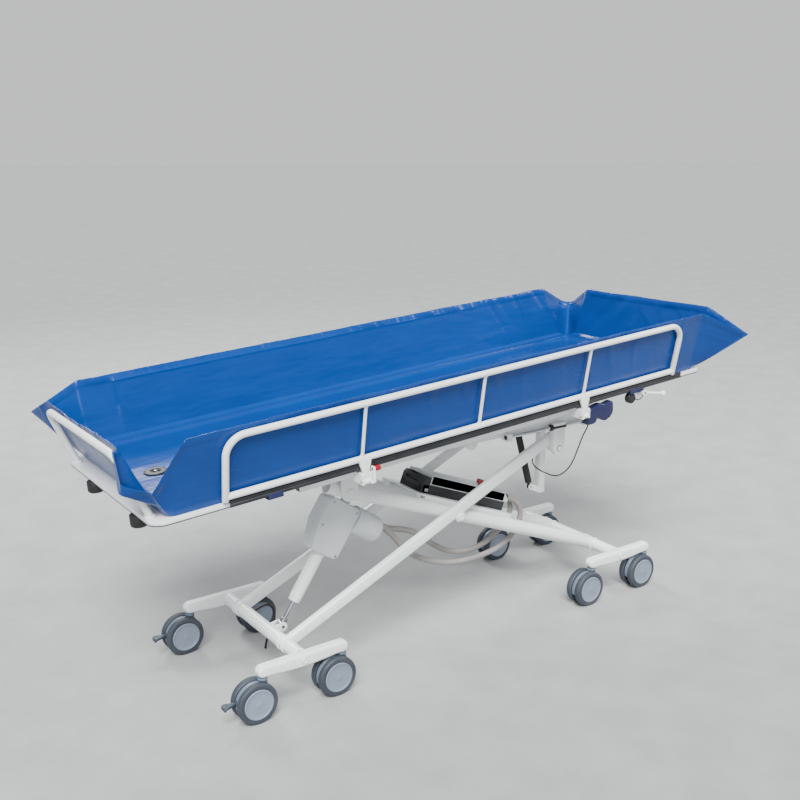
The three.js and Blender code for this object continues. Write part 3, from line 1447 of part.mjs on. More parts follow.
function releaseLever() {
  const droop = THREE.MathUtils.degToRad(releaseLeverDroop);
  const hub = drumY(releaseHubDiameter, releaseHubLength);
  const rod = drumX(releaseLeverDiameter, releaseLeverLength, releaseLeverLength / 2, 0, 0, tubeSides);
  rod.rotateY(droop);
  const tip = new THREE.SphereGeometry(releaseBallDiameter / 2, roundSides, ballRings);
  tip.translate(releaseLeverLength, 0, 0).rotateY(droop);
  const bore = drumY(releasePinDiameter + 2 * runningGap, releaseHubLength + cutOverrun, 0, 0, 0, tubeSides);
  return without(joined(hub, rod, tip), bore);
}

function cableClamp() {
  const centre = beamTop - cableClampDiameter / 2 - runningGap;
  const drum = drumY(cableClampDiameter, cableClampLength, 0, releaseSide, centre);
  const neckHeight = beamTop - centre;
  const neck = block(cableClampNeck, cableClampLength, neckHeight, 0, releaseSide, beamTop - neckHeight / 2);
  return joined(drum, neck);
}

piece('release_bracket', releaseBracket(), whitePaint, tray).position.set(releaseLeverX, 0, 0);
const lever = piece('release_lever', releaseLever(), whitePaint, tray);
lever.position.set(releaseLeverX, releaseSide, releaseHubZ);
piece('cable_clamp', cableClamp(), blackRubber, tray).position.set(cableClampX, 0, 0);

// Hand control: two lobes with a waist that hooks over the edge
function handControl() {
  const outline = new THREE.Shape();
  handControlShares.forEach(([along, up], index) => {
    const x = along * handControlLength;
    const z = up * handControlHeight;
    if (index === 0) outline.moveTo(x, z);
    else outline.lineTo(x, z);
  });
  outline.closePath();
  return joined(plateY(outline, handControlDepth, 0, handControlRound));
}

piece('hand_control', handControl(), navyPlastic, tray)
  .position.set(handControlX, handControlSide, beamTop - seatGap - handControlTopShare * handControlHeight);

function placed([x, y, z]) {
  return new THREE.Vector3(x, y, z);
}

// Cables and conduits
const handCable = tubeAlong(handCableRoute.map(placed), handCableDiameter, barSides);
piece('hand_control_cable', handCable, darkPlastic);
piece('earth_lead', tubeAlong(earthLeadRoute.map(placed), earthLeadDiameter, barSides), darkPlastic);

function onActuator(along, out) {
  const run = actuatorRun.clone().normalize();
  const offset = new THREE.Vector2(run.y, -run.x).multiplyScalar(out);
  return actuatorFoot.clone().addScaledVector(run, along).add(offset);
}

// The route of a conduit: square out of the motor's end, through the hanging points, square into the box
function conduitCurve(middle, side) {
  const motorEnd = gearboxNearSide + 2 * seatGap + motorLength;
  const along = gearboxEnd - motorAlong / 2 + conduitStartRise;
  const boxEnd = controlBoxStart + controlBoxLength + seatGap;
  const up = boxTop - conduitEndDrop;
  const route = [
    onActuator(along, motorEnd),
    onActuator(along, motorEnd + conduitDiameter),
    ...middle.map(([x, z]) => new THREE.Vector2(x, z)),
    onInnerArm(boxEnd + conduitDiameter, up),
    onInnerArm(boxEnd, up),
  ];
  const places = route.map((point) => new THREE.Vector3(point.x, side, point.y));
  return new THREE.CatmullRomCurve3(places, false, 'centripetal');
}

function ribbedConduit(middle, conduitSide) {
  const curve = conduitCurve(middle, conduitSide);
  const ringCount = conduitRibCount * 2;
  const points = curve.getSpacedPoints(ringCount - 1);
  const frames = points.map((point, index) => {
    const before = points[Math.max(index - 1, 0)];
    const after = points[Math.min(index + 1, points.length - 1)];
    const run = after.clone().sub(before).normalize();
    const side = new THREE.Vector3(0, 1, 0);
    return { point, side, up: run.clone().cross(side).normalize() };
  });
  const positions = [];
  const faces = [];
  const ring = ({ point, side, up }, radius) => {
    const first = positions.length / 3;
    for (let corner = 0; corner < conduitSides; corner += 1) {
      const angle = 2 * Math.PI * corner / conduitSides;
      const place = point.clone().addScaledVector(side, radius * Math.cos(angle))
        .addScaledVector(up, radius * Math.sin(angle));
      positions.push(place.x, place.y, place.z);
    }
    return first;
  };
  const span = (from, to) => {
    for (let corner = 0; corner < conduitSides; corner += 1) {
      const next = (corner + 1) % conduitSides;
      faces.push(from + corner, to + next, to + corner, from + corner, from + next, to + next);
    }
  };
  const crest = conduitDiameter / 2;
  const outer = frames.map((frame, index) => ring(frame, index % 2 ? crest : crest - conduitRib));
  const last = frames.length - 1;
  const boreFrames = frames.filter((frame, index) => index % boreRingStep === 0 || index === last);
  const inner = boreFrames.map((frame) => ring(frame, conduitBore / 2)).reverse();
  const loop = outer.concat(inner, outer[0]);
  for (let index = 0; index < loop.length - 1; index += 1) span(loop[index], loop[index + 1]);
  const tube = new THREE.BufferGeometry();
  tube.setAttribute('position', new THREE.Float32BufferAttribute(positions, 3));
  tube.setIndex(faces);
  return tube;
}

piece('conduit_outer', ribbedConduit(conduitOuterRoute, conduitOuterSide), conduitPlastic);
piece('conduit_inner', ribbedConduit(conduitInnerRoute, conduitInnerSide), conduitPlastic);

const middle = new THREE.Box3().setFromObject(trolley, true).getCenter(new THREE.Vector3());
trolley.position.set(-middle.x, -middle.y, 0);

export default trolley;
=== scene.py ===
import math

import bpy
from mathutils import Matrix, Vector, noise


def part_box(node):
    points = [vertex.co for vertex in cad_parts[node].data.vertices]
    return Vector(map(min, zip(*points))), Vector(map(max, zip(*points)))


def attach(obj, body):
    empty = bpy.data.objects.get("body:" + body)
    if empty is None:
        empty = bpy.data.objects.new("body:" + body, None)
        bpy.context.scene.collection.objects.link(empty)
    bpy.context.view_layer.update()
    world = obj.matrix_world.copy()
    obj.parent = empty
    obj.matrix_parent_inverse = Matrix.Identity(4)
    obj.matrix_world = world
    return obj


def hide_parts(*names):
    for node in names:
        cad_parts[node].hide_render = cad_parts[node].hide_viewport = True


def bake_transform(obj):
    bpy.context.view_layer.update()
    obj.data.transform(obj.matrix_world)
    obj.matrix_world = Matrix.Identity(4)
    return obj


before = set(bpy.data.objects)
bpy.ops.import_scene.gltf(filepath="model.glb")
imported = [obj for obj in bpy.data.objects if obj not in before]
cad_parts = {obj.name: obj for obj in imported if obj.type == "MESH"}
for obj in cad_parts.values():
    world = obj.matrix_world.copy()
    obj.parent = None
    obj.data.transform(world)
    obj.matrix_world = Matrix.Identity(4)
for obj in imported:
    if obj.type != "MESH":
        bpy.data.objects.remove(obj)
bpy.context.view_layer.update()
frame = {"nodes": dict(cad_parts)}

bl_info = {
    "name": "Shower trolley",
    "version": (1, 0, 0),
    "blender": (4, 5, 0),
    "location": "View3D > Sidebar > Trolley",
    "description": "Models the visible pieces of a height-adjustable shower trolley",
    "category": "Object",
}

SIDES = {"near": -1, "far": 1}
MM = 0.001

# Places of the drawing, in millimetres: X from the foot cross tube, Z from the floor
TILT = math.radians(3.5)
BOARD_DATUM = 716
PIVOT_HEIGHT = 146
WHEELBASE = 1310
CENTRE_PIN = (655, 408)
SCISSOR = math.atan2(CENTRE_PIN[1] - PIVOT_HEIGHT, CENTRE_PIN[0])
UPPER_ARM = 445
HINGE_PIN = (CENTRE_PIN[0] - UPPER_ARM * math.cos(SCISSOR), CENTRE_PIN[1] + UPPER_ARM * math.sin(SCISSOR))
SLIDER_PIN = (2 * CENTRE_PIN[0] - HINGE_PIN[0], HINGE_PIN[1])
FOOT_EYE = (42, 152)
HEAD_EYE_ALONG, HEAD_EYE_DROP = 68, 26
HEAD_EYE = (
    HINGE_PIN[0] + HEAD_EYE_ALONG * math.cos(SCISSOR) - HEAD_EYE_DROP * math.sin(SCISSOR),
    HINGE_PIN[1] - HEAD_EYE_ALONG * math.sin(SCISSOR) - HEAD_EYE_DROP * math.cos(SCISSOR),
)
ACTUATOR_SIDE = -45
SPRING_SIDE = -60
SPRING_FOOT = (SLIDER_PIN[0] - 21, 405)
SPRING_HEAD_ALONG, SPRING_HEAD_UP = SLIDER_PIN[0] - 106, -85
WHEEL_RADIUS = 62.5
AXLE_HEIGHT = WHEEL_RADIUS * math.cos(math.pi / 16)


def middle_of(node):
    low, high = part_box(node)
    return (low + high) / 2


ORIGIN_X = middle_of("bogie_beam_foot_near").x


def at(x, y, z):
    """A point of the drawing in the frame's metres."""
    return Vector((ORIGIN_X + x * MM, y * MM, z * MM))


def standing_at(x, y, z, turn=0.0):
    """The frame of a piece that stands at a point of the drawing, turned in the X-Z plane, foot to head."""
    return Matrix.Translation(at(x, y, z)) @ Matrix.Rotation(-turn, 4, "Y")


def angle_between(start, end):
    return math.atan2(end[1] - start[1], end[0] - start[0])


def distance(start, end):
    return math.hypot(end[0] - start[0], end[1] - start[1])


def from_tray(along, up):
    return (
        along * math.cos(TILT) - up * math.sin(TILT),
        BOARD_DATUM + along * math.sin(TILT) + up * math.cos(TILT),
    )


SPRING_HEAD = from_tray(SPRING_HEAD_ALONG, SPRING_HEAD_UP)
GROUND = standing_at(0, 0, 0)
TRAY = standing_at(0, 0, BOARD_DATUM, TILT)
OUTER_RISE = SCISSOR + math.radians(1.8)
INNER_ARM = standing_at(HINGE_PIN[0], 0, HINGE_PIN[1], -SCISSOR)
ACTUATOR = standing_at(FOOT_EYE[0], ACTUATOR_SIDE, FOOT_EYE[1], angle_between(FOOT_EYE, HEAD_EYE))
ACTUATOR_LENGTH = distance(FOOT_EYE, HEAD_EYE)
SPRING = standing_at(SPRING_FOOT[0], SPRING_SIDE, SPRING_FOOT[1], angle_between(SPRING_FOOT, SPRING_HEAD))
SPRING_LENGTH = distance(SPRING_FOOT, SPRING_HEAD)


# Modelling steps -----------------------------------------------------------------------------------------------


AXIS_TURNS = {"X": (0, math.pi / 2, 0), "Y": (math.pi / 2, 0, 0), "Z": (0, 0, 0)}


def fresh():
    if bpy.context.mode != "OBJECT":
        bpy.ops.object.mode_set(mode="OBJECT")
    bpy.ops.object.select_all(action="DESELECT")


def take(*objects):
    """Selects only these objects and makes the first one active."""
    fresh()
    for piece in objects:
        piece.select_set(True)
    bpy.context.view_layer.objects.active = objects[0]
    return objects[0]


def new_object(name, data):
    thing = bpy.data.objects.new(name, data)
    bpy.context.scene.collection.objects.link(thing)
    return thing


def on_mesh(piece, *steps):
    """Runs mesh operators, each with its settings, on the whole of a piece."""
    take(piece)
    bpy.ops.object.mode_set(mode="EDIT")
    bpy.ops.mesh.select_all(action="SELECT")
    for step, settings in steps:
        step(**settings)
    bpy.ops.object.mode_set(mode="OBJECT")
    return piece


def named(name):
    piece = bpy.context.object
    piece.name = name
    piece.data.name = name
    return piece


def apply_place(piece):
    take(piece)
    bpy.ops.object.transform_apply(location=True, rotation=True, scale=True)
    return piece


def smooth(piece, degrees=32):
    take(piece)
    bpy.ops.object.shade_smooth_by_angle(angle=math.radians(degrees))
    return piece


def apply_modifier(piece, kind, **settings):
    take(piece)
    modifier = piece.modifiers.new(kind.title(), kind)
    for key, value in settings.items():
        setattr(modifier, key, value)
    bpy.ops.object.modifier_apply(modifier=modifier.name)
    return piece


def rounded(piece, radius, segments=3, degrees=35):
    """Rounds the sharp edges of a piece; the radius is in millimetres."""
    if radius > 0:
        apply_modifier(
            piece, "BEVEL", width=radius * MM, segments=segments, limit_method="ANGLE",
            angle_limit=math.radians(degrees), use_clamp_overlap=True, miter_outer="MITER_ARC",
        )
    return smooth(piece)


def block(name, centre, size, radius=1.0, segments=3):
    fresh()
    bpy.ops.mesh.primitive_cube_add(size=1, location=Vector(centre) * MM)
    piece = named(name)
    piece.scale = Vector(size) * MM
    return rounded(apply_place(piece), radius, segments)


def drum(name, centre, diameter, length, axis="Y", radius=0.8, sides=48):
    fresh()
    bpy.ops.mesh.primitive_cylinder_add(
        vertices=sides, radius=diameter / 2 * MM, depth=length * MM, location=Vector(centre) * MM,
        rotation=AXIS_TURNS[axis],
    )
    return rounded(apply_place(named(name)), radius, 3, 50)


def hexagon(name, centre, across, length, axis="Y"):
    return drum(name, centre, across / math.cos(math.pi / 6), length, axis, 0.7, 6)


def mesh_piece(name, points, faces=(), edges=()):
    mesh = bpy.data.meshes.new(name)
    mesh.from_pydata([Vector(point) for point in points], list(edges), list(faces))
    return new_object(name, mesh)


def outward(piece):
    """Merges doubled points and turns all faces outward."""
    return on_mesh(
        piece, (bpy.ops.mesh.remove_doubles, {"threshold": 1e-6}),
        (bpy.ops.mesh.normals_make_consistent, {"inside": False}),
    )


def turned(name, profile, centre=(0, 0, 0), axis="Y", steps=64, degrees=32):
    """A solid of revolution: profile holds (radius, along) points in millimetres, from one end to the other."""
    along = Vector([float(letter == axis) for letter in "XYZ"])
    across = Vector((0, 0, 1)) if axis != "Z" else Vector((1, 0, 0))
    points = [(across * out + along * step + Vector(centre)) * MM for out, step in profile]
    piece = mesh_piece(name, points, edges=[(index, index + 1) for index in range(len(points) - 1)])
    spin = {"steps": steps, "angle": 2 * math.pi, "center": Vector(centre) * MM, "axis": along}
    return smooth(outward(on_mesh(piece, (bpy.ops.mesh.spin, spin))), degrees)


def plate(name, outline, thickness, centre=(0, 0, 0), plane="XZ", radius=1.0, segments=3):
    """A flat piece: an outline of (across, up) points, extruded evenly to both sides of its plane."""
    across, up = (Vector([float(letter == axis) for letter in "XYZ"]) for axis in plane)
    push = Vector([float(letter not in plane) for letter in "XYZ"]) * thickness
    points = [(across * u + up * v - push / 2 + Vector(centre)) * MM for u, v in outline]
    piece = mesh_piece(name, points, faces=[range(len(points))])
    move = {"TRANSFORM_OT_translate": {"value": push * MM}}
    return rounded(outward(on_mesh(piece, (bpy.ops.mesh.extrude_region_move, move))), radius, segments)


def arc(centre, radius, start, end, steps=10):
    """Outline points on an arc, with its angles in degrees."""
    return [
        (
            centre[0] + radius * math.cos(math.radians(start + (end - start) * step / steps)),
            centre[1] + radius * math.sin(math.radians(start + (end - start) * step / steps)),
        )
        for step in range(steps + 1)
    ]


def bent_route(corners, radius, steps=10):
    """The corners of a bent tube, each turned into an arc."""
    points = [Vector(corners[0])]
    for before, corner, after in zip(corners, corners[1:], corners[2:]):
        corner = Vector(corner)
        back = (Vector(before) - corner).normalized()
        onward = (Vector(after) - corner).normalized()
        turn = math.pi - back.angle(onward)
        centre = corner + (back + onward).normalized() * (radius / math.cos(turn / 2))
        spoke = corner + back * (radius * math.tan(turn / 2)) - centre
        axis = back.cross(onward).normalized()
        for step in range(steps + 1):
            points.append(centre + Matrix.Rotation(-turn * step / steps, 3, axis) @ spoke)
    points.append(Vector(corners[-1]))
    return points


def pipe(name, points, diameter, resolution=8, end_radius=1.0, scale=MM):
    """A round tube along points: a curve made into a mesh, with rounded end edges."""
    curve = bpy.data.curves.new(name, "CURVE")
    curve.dimensions = "3D"
    spline = curve.splines.new("POLY")
    spline.points.add(len(points) - 1)
    for place, point in zip(spline.points, points):
        place.co = (*(Vector(point) * scale), 1)
    curve.bevel_depth = diameter / 2 * MM
    curve.bevel_resolution = resolution
    curve.use_fill_caps = True
    take(new_object(name, curve))
    bpy.ops.object.convert(target="MESH")
    return rounded(outward(named(name)), end_radius, 2, 60)


def ring(name, centre, diameter, thickness, axis="Y"):
    """A weld bead or wire ring."""
    fresh()
    bpy.ops.mesh.primitive_torus_add(
        major_radius=diameter / 2 * MM, minor_radius=thickness / 2 * MM, major_segments=48, minor_segments=10,
        location=Vector(centre) * MM, rotation=AXIS_TURNS[axis],
    )
    return smooth(apply_place(named(name)), 60)


def cut(piece, *cutters):
    """Takes the cutters out of a piece, and removes them."""
    for cutter in cutters:
        apply_modifier(piece, "BOOLEAN", operation="DIFFERENCE", solver="EXACT", object=cutter)
        bpy.data.objects.remove(cutter)
    return smooth(piece)


def bored(piece, centre, diameter, length, axis="Y", sides=40):
    """A round hole through a piece."""
    return cut(piece, drum("bore_room", centre, diameter, length, axis, 0, sides))


def join(name, parts):
    take(*parts)
    if len(parts) > 1:
        bpy.ops.object.join()
    return named(name)


def put(piece, place):
    """Moves a piece's mesh from its own frame to its place."""
    piece.data.transform(place)
    piece.data.update()
    return piece


def copy_of(piece, name, place):
    """Another of the same piece, with its own mesh."""
    mesh = piece.data.copy()
    mesh.name = name
    return put(new_object(name, mesh), place)


def dress(piece, finish):
    """Gives a piece its finish."""
    piece.data.materials.clear()
    piece.data.materials.append(finished(finish))
    return piece


def coated(finish, *parts):
    return [dress(part, finish) for part in parts]


def seat(piece, body, slot=None, *replaced):
    """Lets a piece ride on its body, and stand for the solids that it replaces."""
    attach(piece, body)
    if replaced:
        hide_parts(*replaced)
    return piece


def finish_piece(name, parts, place, body, slot=None, *replaced):
    """Joins the parts of a visible piece, moves it to its place and seats it on its body."""
    return seat(put(join(name, parts), place), body, slot, *replaced)


# Finishes ------------------------------------------------------------------------------------------------------


def linear(red, green, blue):
    """A colour given in 0 to 255, as the renderer counts it."""
    return tuple(
        (value / 255 / 12.92) if value <= 10 else ((value / 255 + 0.055) / 1.055) ** 2.4 for value in (red, green, blue)
    )


def new_node(tree, kind, place, **values):
    node = tree.nodes.new(kind)
    node.location = place
    for key, value in values.items():
        setattr(node, key, value)
    return node


def new_group(name, inputs, outputs):
    tree = bpy.data.node_groups.new(name, "ShaderNodeTree")
    for label, kind, default in inputs:
        socket = tree.interface.new_socket(label, in_out="INPUT", socket_type=kind)
        if default is not None:
            socket.default_value = default
    for label, kind in outputs:
        tree.interface.new_socket(label, in_out="OUTPUT", socket_type=kind)
    return tree, new_node(tree, "NodeGroupInput", (-900, 0)), new_node(tree, "NodeGroupOutput", (700, 0))


def sums(tree, operation, place, *values):
    """A math node whose inputs are sockets or plain numbers."""
    node = new_node(tree, "ShaderNodeMath", place, operation=operation)
    for index, value in enumerate(values):
        if isinstance(value, (int, float)):
            node.inputs[index].default_value = value
        else:
            tree.links.new(value, node.inputs[index])
    return node.outputs[0]


def ramp(tree, place, value, low, high, to_low=0.0, to_high=1.0):
    node = new_node(tree, "ShaderNodeMapRange", place, clamp=True)
    tree.links.new(value, node.inputs["Value"])
    for key, number in (("From Min", low), ("From Max", high), ("To Min", to_low), ("To Max", to_high)):
        node.inputs[key].default_value = number
    return node.outputs[0]


def noise_of(tree, place, vector, scale, detail=3.0, kind="FBM", roughness=0.55):
    node = new_node(tree, "ShaderNodeTexNoise", place, noise_type=kind)
    tree.links.new(vector, node.inputs["Vector"])
    if isinstance(scale, (int, float)):
        node.inputs["Scale"].default_value = scale
    else:
        tree.links.new(scale, node.inputs["Scale"])
    node.inputs["Detail"].default_value = detail
    node.inputs["Roughness"].default_value = roughness
    return node.outputs[0]


def moulded_grain():
    """Fine grain of powder coat or moulded plastic, as a height."""
    tree, given, out = new_group(
        "Moulded grain",
        [("Vector", "NodeSocketVector", None), ("Scale", "NodeSocketFloat", 900.0), ("Depth", "NodeSocketFloat", 1.0)],
        [("Height", "NodeSocketFloat")],
    )
    fine = noise_of(tree, (-600, 100), given.outputs["Vector"], given.outputs["Scale"], 2.0)
    broad_scale = sums(tree, "MULTIPLY", (-780, -150), given.outputs["Scale"], 0.06)
    broad = noise_of(tree, (-600, -150), given.outputs["Vector"], broad_scale, 2.0)
    both = sums(tree, "ADD", (-300, 0), fine, sums(tree, "MULTIPLY", (-440, -150), broad, 1.6))
    tree.links.new(sums(tree, "MULTIPLY", (0, 0), both, given.outputs["Depth"]), out.inputs["Height"])
    return tree


def uneven_tone():
    """Slow changes of tone over a piece, from 0 to 1."""
    tree, given, out = new_group(
        "Uneven tone",
        [("Vector", "NodeSocketVector", None), ("Scale", "NodeSocketFloat", 6.0)],
        [("Tone", "NodeSocketFloat")],
    )
    slow = noise_of(tree, (-600, 100), given.outputs["Vector"], given.outputs["Scale"], 5.0)
    tree.links.new(ramp(tree, (-300, 0), slow, 0.32, 0.68), out.inputs["Tone"])
    return tree


def rubs_and_dust():
    """Where hands and water have left marks, from 0 to 1."""
    tree, given, out = new_group(
        "Rubs and dust",
        [("Vector", "NodeSocketVector", None), ("Amount", "NodeSocketFloat", 0.3)],
        [("Mask", "NodeSocketFloat")],
    )
    stretch = new_node(tree, "ShaderNodeMapping", (-760, 160))
    stretch.inputs["Scale"].default_value = (14.0, 90.0, 60.0)
    tree.links.new(given.outputs["Vector"], stretch.inputs["Vector"])
    scratches = ramp(tree, (-300, 160), noise_of(tree, (-520, 160), stretch.outputs[0], 3.0, 4.0), 0.62, 0.74)
    clouds = ramp(tree, (-300, -100), noise_of(tree, (-520, -100), given.outputs["Vector"], 9.0, 6.0), 0.45, 0.75)
    both = sums(tree, "MAXIMUM", (-60, 0), sums(tree, "MULTIPLY", (-160, 160), scratches, 0.5), clouds)
    tree.links.new(sums(tree, "MULTIPLY", (160, 0), both, given.outputs["Amount"]), out.inputs["Mask"])
    return tree


def coated_weave():
    """The threads that show through a coated cloth, as a height, from a map in metres."""
    tree, given, out = new_group(
        "Coated weave",
        [("Vector", "NodeSocketVector", None), ("Threads", "NodeSocketFloat", 700.0)],
        [("Height", "NodeSocketFloat")],
    )
    heights = []
    for row, direction in enumerate("XY"):
        wave = new_node(tree, "ShaderNodeTexWave", (-600, 150 - 300 * row), bands_direction=direction)
        tree.links.new(given.outputs["Vector"], wave.inputs["Vector"])
        tree.links.new(given.outputs["Threads"], wave.inputs["Scale"])
        heights.append(wave.outputs["Fac"])
    tree.links.new(sums(tree, "MAXIMUM", (-200, 0), *heights), out.inputs["Height"])
    return tree


GROUPS = {
    "Moulded grain": moulded_grain,
    "Uneven tone": uneven_tone,
    "Rubs and dust": rubs_and_dust,
    "Coated weave": coated_weave,
}


def place_group(tree, name, place, vector, **values):
    node = new_node(tree, "ShaderNodeGroup", place, node_tree=bpy.data.node_groups.get(name) or GROUPS[name]())
    tree.links.new(vector, node.inputs["Vector"])
    for key, value in values.items():
        node.inputs[key].default_value = value
    return node.outputs[0]


def tinted(tree, place, mask, first, second):
    """A colour that goes from the first to the second with the mask; each is a colour or a socket."""
    node = new_node(tree, "ShaderNodeMix", place, data_type="RGBA")
    tree.links.new(mask, node.inputs["Factor"])
    for key, value in (("A", first), ("B", second)):
        socket = [entry for entry in node.inputs if entry.name == key and entry.type == "RGBA"][0]
        if isinstance(value, tuple):
            socket.default_value = (*value, 1)
        else:
            tree.links.new(value, socket)
    return [entry for entry in node.outputs if entry.type == "RGBA"][0]


GLOSS_SPREAD = 0.04


def relief_of(tree, place, height, strength, distance, normal=None):
    """A bump node's normal, on top of another normal if there is one."""
    node = new_node(tree, "ShaderNodeBump", place)
    node.inputs["Strength"].default_value = strength
    node.inputs["Distance"].default_value = distance
    tree.links.new(height, node.inputs["Height"])
    if normal:
        tree.links.new(normal, node.inputs["Normal"])
    return node.outputs["Normal"]


def shaded(name, metallic=0.0, **settings):
    """A new material, its tree, its shader and the piece's own coordinates."""
    material = bpy.data.materials.new(f"{name}_finish")
    material.use_nodes = True
    tree = material.node_tree
    shader = tree.nodes["Principled BSDF"]
    shader.inputs["Metallic"].default_value = metallic
    for key, value in settings.items():
        shader.inputs[key.replace("_", " ").title().replace("Ior", "IOR")].default_value = value
    return material, tree, shader


def hard_finish(name, colour, marks, roughness, grain, bump, rubs, **settings):
    """Paint, plastic, rubber or metal: an uneven base colour, fine grain, and rubs that change tone and gloss."""
    material, tree, shader = shaded(name, **settings)
    place = new_node(tree, "ShaderNodeTexCoord", (-1300, 0)).outputs["Object"]
    uneven = place_group(tree, "Uneven tone", (-1000, 300), place, Scale=6.0)
    worn = place_group(tree, "Rubs and dust", (-1000, 60), place, Amount=rubs)
    height = place_group(tree, "Moulded grain", (-1000, -260), place, Scale=grain, Depth=1.0)
    darker = tuple(value * 0.88 for value in colour)
    base = tinted(tree, (-600, 300), uneven, darker, colour)
    tree.links.new(tinted(tree, (-380, 200), worn, base, marks), shader.inputs["Base Color"])
    matt = ramp(tree, (-700, -40), uneven, 0, 1, roughness - GLOSS_SPREAD, roughness + GLOSS_SPREAD)
    gloss = sums(tree, "ADD", (-500, -40), matt, sums(tree, "MULTIPLY", (-700, -200), worn, 0.25))
    tree.links.new(gloss, shader.inputs["Roughness"])
    tree.links.new(relief_of(tree, (-380, -300), height, bump, 0.0006), shader.inputs["Normal"])
    return material


def liner_cloth(name, colour, marks, roughness):
    """Coated cloth: deep and light blue patches, soft creases and a faint weave, on the piece's map in metres."""
    material, tree, shader = shaded(name, coat_weight=0.08, coat_roughness=0.1, specular_ior_level=0.24)
    place = new_node(tree, "ShaderNodeUVMap", (-1500, 0), uv_map="Cloth").outputs["UV"]
    spread = new_node(tree, "ShaderNodeMapping", (-1300, -200))
    spread.inputs["Scale"].default_value = (2.2, 6.5, 1.0)
    tree.links.new(place, spread.inputs["Vector"])
    creases = noise_of(tree, (-1050, -200), spread.outputs[0], 2.4, 2.0, "RIDGED_MULTIFRACTAL", 0.4)
    swells = noise_of(tree, (-1050, -420), spread.outputs[0], 1.6, 3.0)
    weave = place_group(tree, "Coated weave", (-1050, -640), place, Threads=330.0)
    uneven = place_group(tree, "Uneven tone", (-1050, 300), place, Scale=5.0)
    worn = place_group(tree, "Rubs and dust", (-1050, 60), place, Amount=0.06)
    deep = tuple(value * factor for value, factor in zip(colour, (0.8, 0.86, 0.9)))
    base = tinted(tree, (-700, 300), uneven, deep, colour)
    tree.links.new(tinted(tree, (-480, 200), worn, base, marks), shader.inputs["Base Color"])
    gloss = ramp(tree, (-480, 0), uneven, 0, 1, roughness + GLOSS_SPREAD, roughness - GLOSS_SPREAD)
    tree.links.new(gloss, shader.inputs["Roughness"])
    folds = sums(tree, "ADD", (-700, -300), sums(tree, "MULTIPLY", (-860, -200), creases, 0.35), swells)
    soft = relief_of(tree, (-480, -300), folds, 0.4, 0.012)
    tree.links.new(relief_of(tree, (-260, -420), weave, 0.1, 0.0004, soft), shader.inputs["Normal"])
    return material


WHITE = linear(236, 238, 238)
# Colour, colour of the marks, roughness, grain, relief, rubs and the shader's other settings of each hard finish
HARD_FINISHES = {
    "powder_coat": (None, (205, 206, 204), 0.34, 1400.0, 0.12, 0.14, {"coat_weight": 0.25, "coat_roughness": 0.2}),
    "polished_chrome": ((196, 200, 205), (140, 140, 142), 0.14, 300.0, 0.02, 0.3, {"metallic": 1.0}),
    "zinc_plate": ((168, 172, 176), (120, 120, 118), 0.32, 700.0, 0.05, 0.3, {"metallic": 1.0}),
    "white_casing": ((204, 208, 210), (170, 172, 170), 0.42, 1800.0, 0.25, 0.2, {}),
    "grey_casing": ((170, 175, 177), (142, 144, 142), 0.42, 1800.0, 0.25, 0.2, {}),
    "dark_casing": ((25, 27, 30), (58, 58, 60), 0.46, 1600.0, 0.3, 0.25, {}),
    "hood_plastic": ((96, 110, 127), (72, 80, 92), 0.42, 1500.0, 0.2, 0.3, {}),
    "pedal_plastic": ((46, 56, 70), (96, 100, 106), 0.46, 1500.0, 0.2, 0.3, {}),
    "tyre_rubber": ((48, 55, 65), (84, 84, 84), 0.58, 1100.0, 0.35, 0.45, {}),
    "wheel_cap": ((122, 132, 148), (102, 106, 114), 0.42, 1500.0, 0.15, 0.3, {}),
    "red_knob": ((140, 2, 24), (96, 14, 28), 0.3, 1200.0, 0.06, 0.2, {"coat_weight": 0.4}),
    "black_rubber": ((17, 18, 19), (52, 51, 50), 0.5, 1300.0, 0.4, 0.3, {}),
    "ribbed_conduit": ((148, 145, 141), (106, 102, 98), 0.5, 900.0, 0.15, 0.35, {}),
    "navy_casing": ((16, 24, 66), (46, 52, 78), 0.34, 1600.0, 0.2, 0.2, {}),
    "laminate": ((228, 231, 232), (198, 198, 195), 0.3, 2000.0, 0.08, 0.2, {}),
    "edge_trim": ((27, 29, 33), (66, 66, 68), 0.42, 1500.0, 0.2, 0.3, {}),
    "webbing": ((18, 28, 72), (48, 54, 84), 0.7, 500.0, 0.6, 0.3, {}),
    "pale_floor": ((158, 159, 159), (155, 156, 156), 0.9, 300.0, 0.03, 0.1, {"specular_ior_level": 0.1}),
}


def finished(name):
    """A finish by name, made at its first use; its name differs from those of the drawing's own materials."""
    found = bpy.data.materials.get(f"{name}_finish")
    if found:
        return found
    chosen = bpy.context.scene.trolley_colours
    if name == "liner_cloth":
        return liner_cloth(name, chosen.liner[:], linear(40, 84, 150), 0.25)
    colour, marks, roughness, grain, bump, rubs, settings = HARD_FINISHES[name]
    colour = linear(*colour) if colour else chosen.frame[:]
    return hard_finish(name, colour, linear(*marks), roughness, grain, bump, rubs, **settings)


# Settings ------------------------------------------------------------------------------------------------------


def length_setting(name, description, default):
    return bpy.props.FloatProperty(
        name=name, description=description, default=default, min=default / 4, max=default * 4, unit="LENGTH",
    )


def colour_setting(name, description, default):
    return bpy.props.FloatVectorProperty(
        name=name, description=description, default=default, min=0, max=1, size=3, subtype="COLOR",
    )


